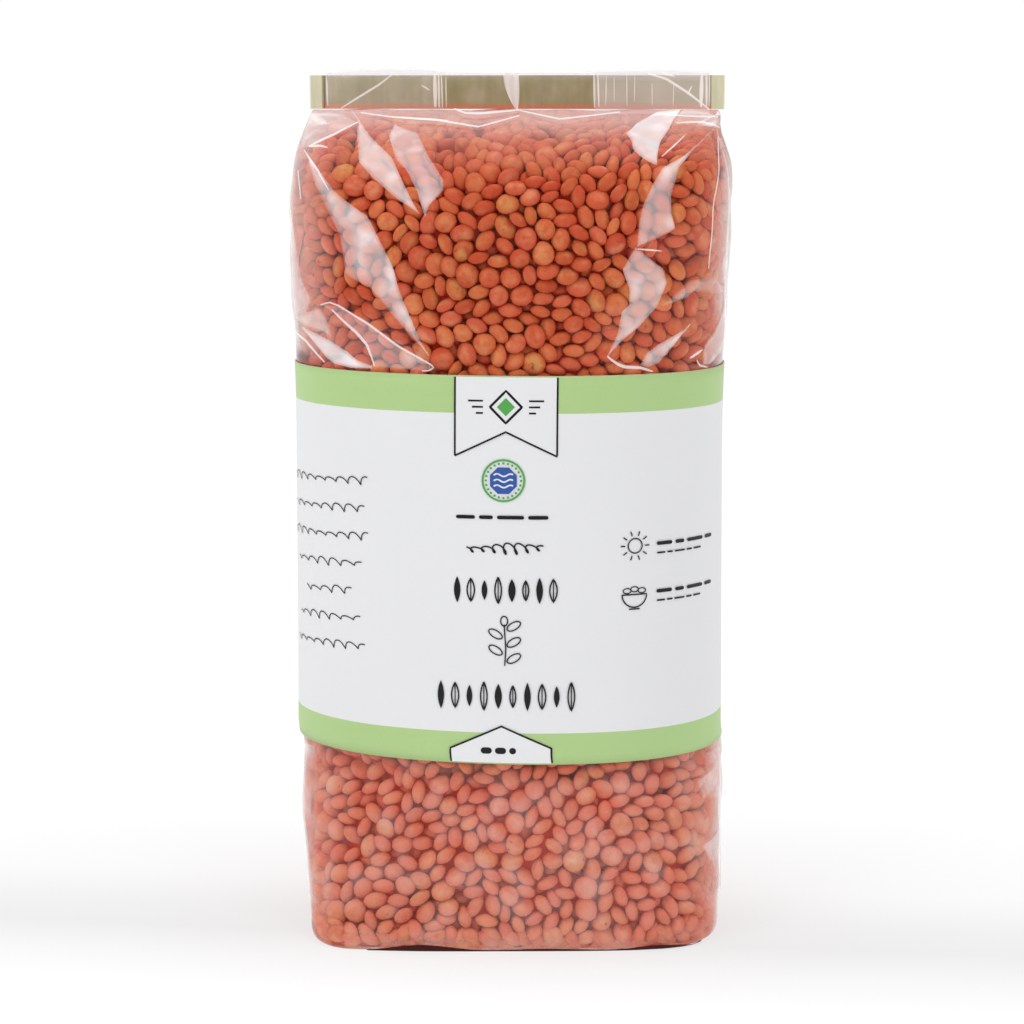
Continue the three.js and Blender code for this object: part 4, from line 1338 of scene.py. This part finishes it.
# The film of the foot is folded under along its front edge: a doubled hem, its dark colour painted shade
hemShadeLook = {"colour": (0.06, 0.009, 0.007), "scale": 700.0, "spread": 0.5, "bump": 0.5, "roughness": 0.6,
           "gloss": 0.15}
hemShape = {"from": 0.634, "to": 0.905, "rows": 7, "columns": 120, "low": 0.35, "tall": 0.95, "wave": 0.25,
            "bumps": [(0.16, 0.1, 1.0), (0.83, 0.07, 0.6)], "lowest": 0.04}


def buildHem():
    look = hemShape
    shares = np.linspace(look["from"], look["to"], look["columns"])
    spread = (shares - look["from"]) / (look["to"] - look["from"])
    bumps = sum(most * np.exp(-(((spread - at) / reach) ** 2)) for at, reach, most in look["bumps"])
    high = look["low"] + look["tall"] * bumps + look["wave"] * np.sin(spread * 9) ** 2
    points = []
    for t in np.linspace(0, 1, look["rows"]):
        points.append(offSurface(bag, shares, placeOf(bag, 0.05 + high * t), 0.45 - 0.1 * t))
    points = np.vstack(points)
    points[:, 2] = np.maximum(points[:, 2], look["lowest"])
    material = paperMaterial("foot_hem_shade", hemShadeLook)
    addPiece("foot_hem_shade", points, gridFaces(look["rows"], look["columns"]), [material], "film")


buildHem()
buildHeaderFilm()
buildHeaderCreases()
buildCurl()
buildBackSeam()
buildFolds(drapes)
buildCreases()


tieLook = {"tones": [(0.3, (0.38, 0.345, 0.155)), (0.55, (0.47, 0.425, 0.235)), (0.75, (0.6, 0.54, 0.35))],
           "broad": 130.0, "brush": (1.0, 1.0, 0.12), "lentilReflectionRise": (0.195, 0.1958), "glow": 0.85,
           "lentilReflectionColour": (0.82, 0.27, 0.13), "middle": 0.0009, "bareFrom": (0.0458, 0.0462),
           "bareColour": (0.86, 0.84, 0.6)}


# The tie keeps its own mesh: dull gold brushed foil, with a painted reflection of the lentils' colour along
# its lower edge, and bare ends
def dressTie():
    look = tieLook
    material, tree = newMaterial("tie_foil")
    place = objectPlace(tree)
    brushed = newNode(tree, "Mapping", Vector=place, Scale=look["brush"]).outputs[0]
    grain = useGroup(tree, fineGrain, Vector=brushed, Scale=900.0, Spread=0.35, Bump=0.12)
    colour = rampOf(tree, noiseOf(tree, place, look["broad"], 4.0), look["tones"])
    glow = mapped(tree, axisOf(tree, place, "Z"), *look["lentilReflectionRise"], look["glow"], 0.0)
    colour = mixedColour(tree, glow, colour, opaque(look["lentilReflectionColour"]))
    fromMiddle = mathOf(tree, "ABSOLUTE", mathOf(tree, "SUBTRACT", axisOf(tree, place, "X"), look["middle"]))
    bare = mapped(tree, fromMiddle, *look["bareFrom"])
    colour = mixedColour(tree, bare, colour, opaque(look["bareColour"]))
    shader = newNode(tree, "BsdfPrincipled", Base_Color=tinted(tree, colour, grain["Value"]), Metallic=0.2,
                     Roughness=0.42, Normal=grain["Normal"])
    closeMaterial(tree, shader)
    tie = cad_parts["tie_strip"]
    tie.data.materials.clear()
    tie.data.materials.append(material)
    tie.visible_glossy = False


dressTie()
print("stage: header and film")

# Stage: a floor that glows as a photo table does, with a soft band of shade behind the bag
floorLook = {"colour": (0.25, 0.25, 0.25), "band": (-0.12, 0.2), "white": 0.66, "strength": 1.2,
             "tones": [(0.0, 1.0), (0.16, 0.98), (0.23, 0.9), (0.29, 0.8), (0.34, 0.83), (0.42, 0.93),
                       (0.6, 1.0), (1.0, 1.12)]}
gleamLook = {"colour": (1, 0.98, 0.97), "strength": 0.7}


def addSheet(name, half, near, far, height, material):
    corners = [(-half, near, height), (half, near, height), (half, far, height), (-half, far, height)]
    sheet = addPiece(name, corners, [(0, 1, 2, 3)], [material], None)
    return sheet


def buildFloor():
    look = floorLook
    material, tree = newMaterial("floor")
    place = objectPlace(tree)
    grain = useGroup(tree, fineGrain, Vector=place, Scale=60.0, Spread=0.01, Bump=0.0)
    diffuse = newNode(tree, "BsdfDiffuse", Color=tinted(tree, opaque(look["colour"]), grain["Value"]))
    at = mapped(tree, axisOf(tree, place, "Y"), *look["band"])
    band = rampOf(tree, at, [(where, (look["white"] * tone,) * 3) for where, tone in look["tones"]])
    glow = newNode(tree, "Emission", Color=band, Strength=look["strength"])
    closeMaterial(tree, newNode(tree, "AddShader", i0=diffuse.outputs[0], i1=glow.outputs[0]))
    addSheet("floor", 4000, -1500, 9000, -0.05, material).visible_glossy = False


# A bright table in front, seen only in the film's gloss
def buildTableGleam():
    material, tree = newMaterial("table_gleam")
    glow = newNode(tree, "Emission", Color=opaque(gleamLook["colour"]), Strength=gleamLook["strength"])
    closeMaterial(tree, glow)
    strip = addSheet("table_gleam", 400, -430, -20, -0.2, material)
    strip.visible_camera = strip.visible_diffuse = strip.visible_shadow = False


lightLooks = {
    "key_left": {"at": (-0.75, -0.75, 0.75), "size": (0.6, 0.8), "power": 4.55},
    "key_right": {"at": (0.8, -0.7, 0.6), "size": (0.6, 0.8), "power": 2.3},
    "overhead": {"at": (0.0, -0.1, 1.1), "size": (0.9, 0.7), "power": 3.6},
}
lightTarget = Vector((0, 0, 0.1))


def facingAlong(direction):
    return direction.to_track_quat("-Z", "Y").to_euler()


def buildLights():
    for name, look in lightLooks.items():
        data = bpy.data.lights.new(name, "AREA")
        data.shape = "RECTANGLE"
        data.size, data.size_y = look["size"]
        data.energy = look["power"]
        light = bpy.data.objects.new(name, data)
        light.location = look["at"]
        light.rotation_euler = facingAlong(lightTarget - Vector(look["at"]))
        light.visible_glossy = False
        bpy.context.scene.collection.objects.link(light)


# White to the camera, soft fill on the bag, and a darker front in its gloss
def buildWorld():
    world = bpy.data.worlds.new("studio")
    bpy.context.scene.world = world
    world.use_nodes = True
    tree = world.node_tree
    tree.nodes.clear()
    depth = axisOf(tree, newNode(tree, "TexCoord").outputs["Generated"], "Y")
    fill = mapped(tree, depth, -1.0, 0.3, 0.24, 0.6)
    mirrored = newNode(tree, "MapRange", {"interpolation_type": "SMOOTHSTEP"}, i0=depth, i1=-0.75, i2=0.2,
                       i3=0.05, i4=0.95).outputs[0]
    rays = newNode(tree, "LightPath").outputs
    soft, gleam, white = [newNode(tree, "Background", Color=(1, 1, 1, 1), Strength=strength)
                          for strength in (fill, mirrored, 1.0)]
    lit = mixedShader(tree, rays["Is Glossy Ray"], soft, gleam)
    whole = mixedShader(tree, rays["Is Camera Ray"], lit, white)
    newNode(tree, "OutputWorld", Surface=whole.outputs[0])


cameraLook = {"distance": 0.6, "height": 0.2, "azimuth": 6.5, "pitch": 9.65, "lens": 88.42}


def buildCamera():
    look = cameraLook
    azimuth, pitch = math.radians(look["azimuth"]), math.radians(look["pitch"])
    data = bpy.data.cameras.new("camera")
    data.lens = look["lens"]
    data.sensor_width = 36
    data.clip_start, data.clip_end = 0.01, 50
    camera = bpy.data.objects.new("camera", data)
    camera.location = (look["distance"] * math.sin(azimuth), -look["distance"] * math.cos(azimuth),
                       look["height"])
    level = math.cos(pitch)
    camera.rotation_euler = facingAlong(Vector((-math.sin(azimuth) * level, math.cos(azimuth) * level,
                                                -math.sin(pitch))))
    bpy.context.scene.collection.objects.link(camera)
    bpy.context.scene.camera = camera


buildFloor()
buildTableGleam()
buildLights()
buildWorld()
buildCamera()
bpy.context.scene.view_settings.view_transform = "Standard"
print("stage: studio")
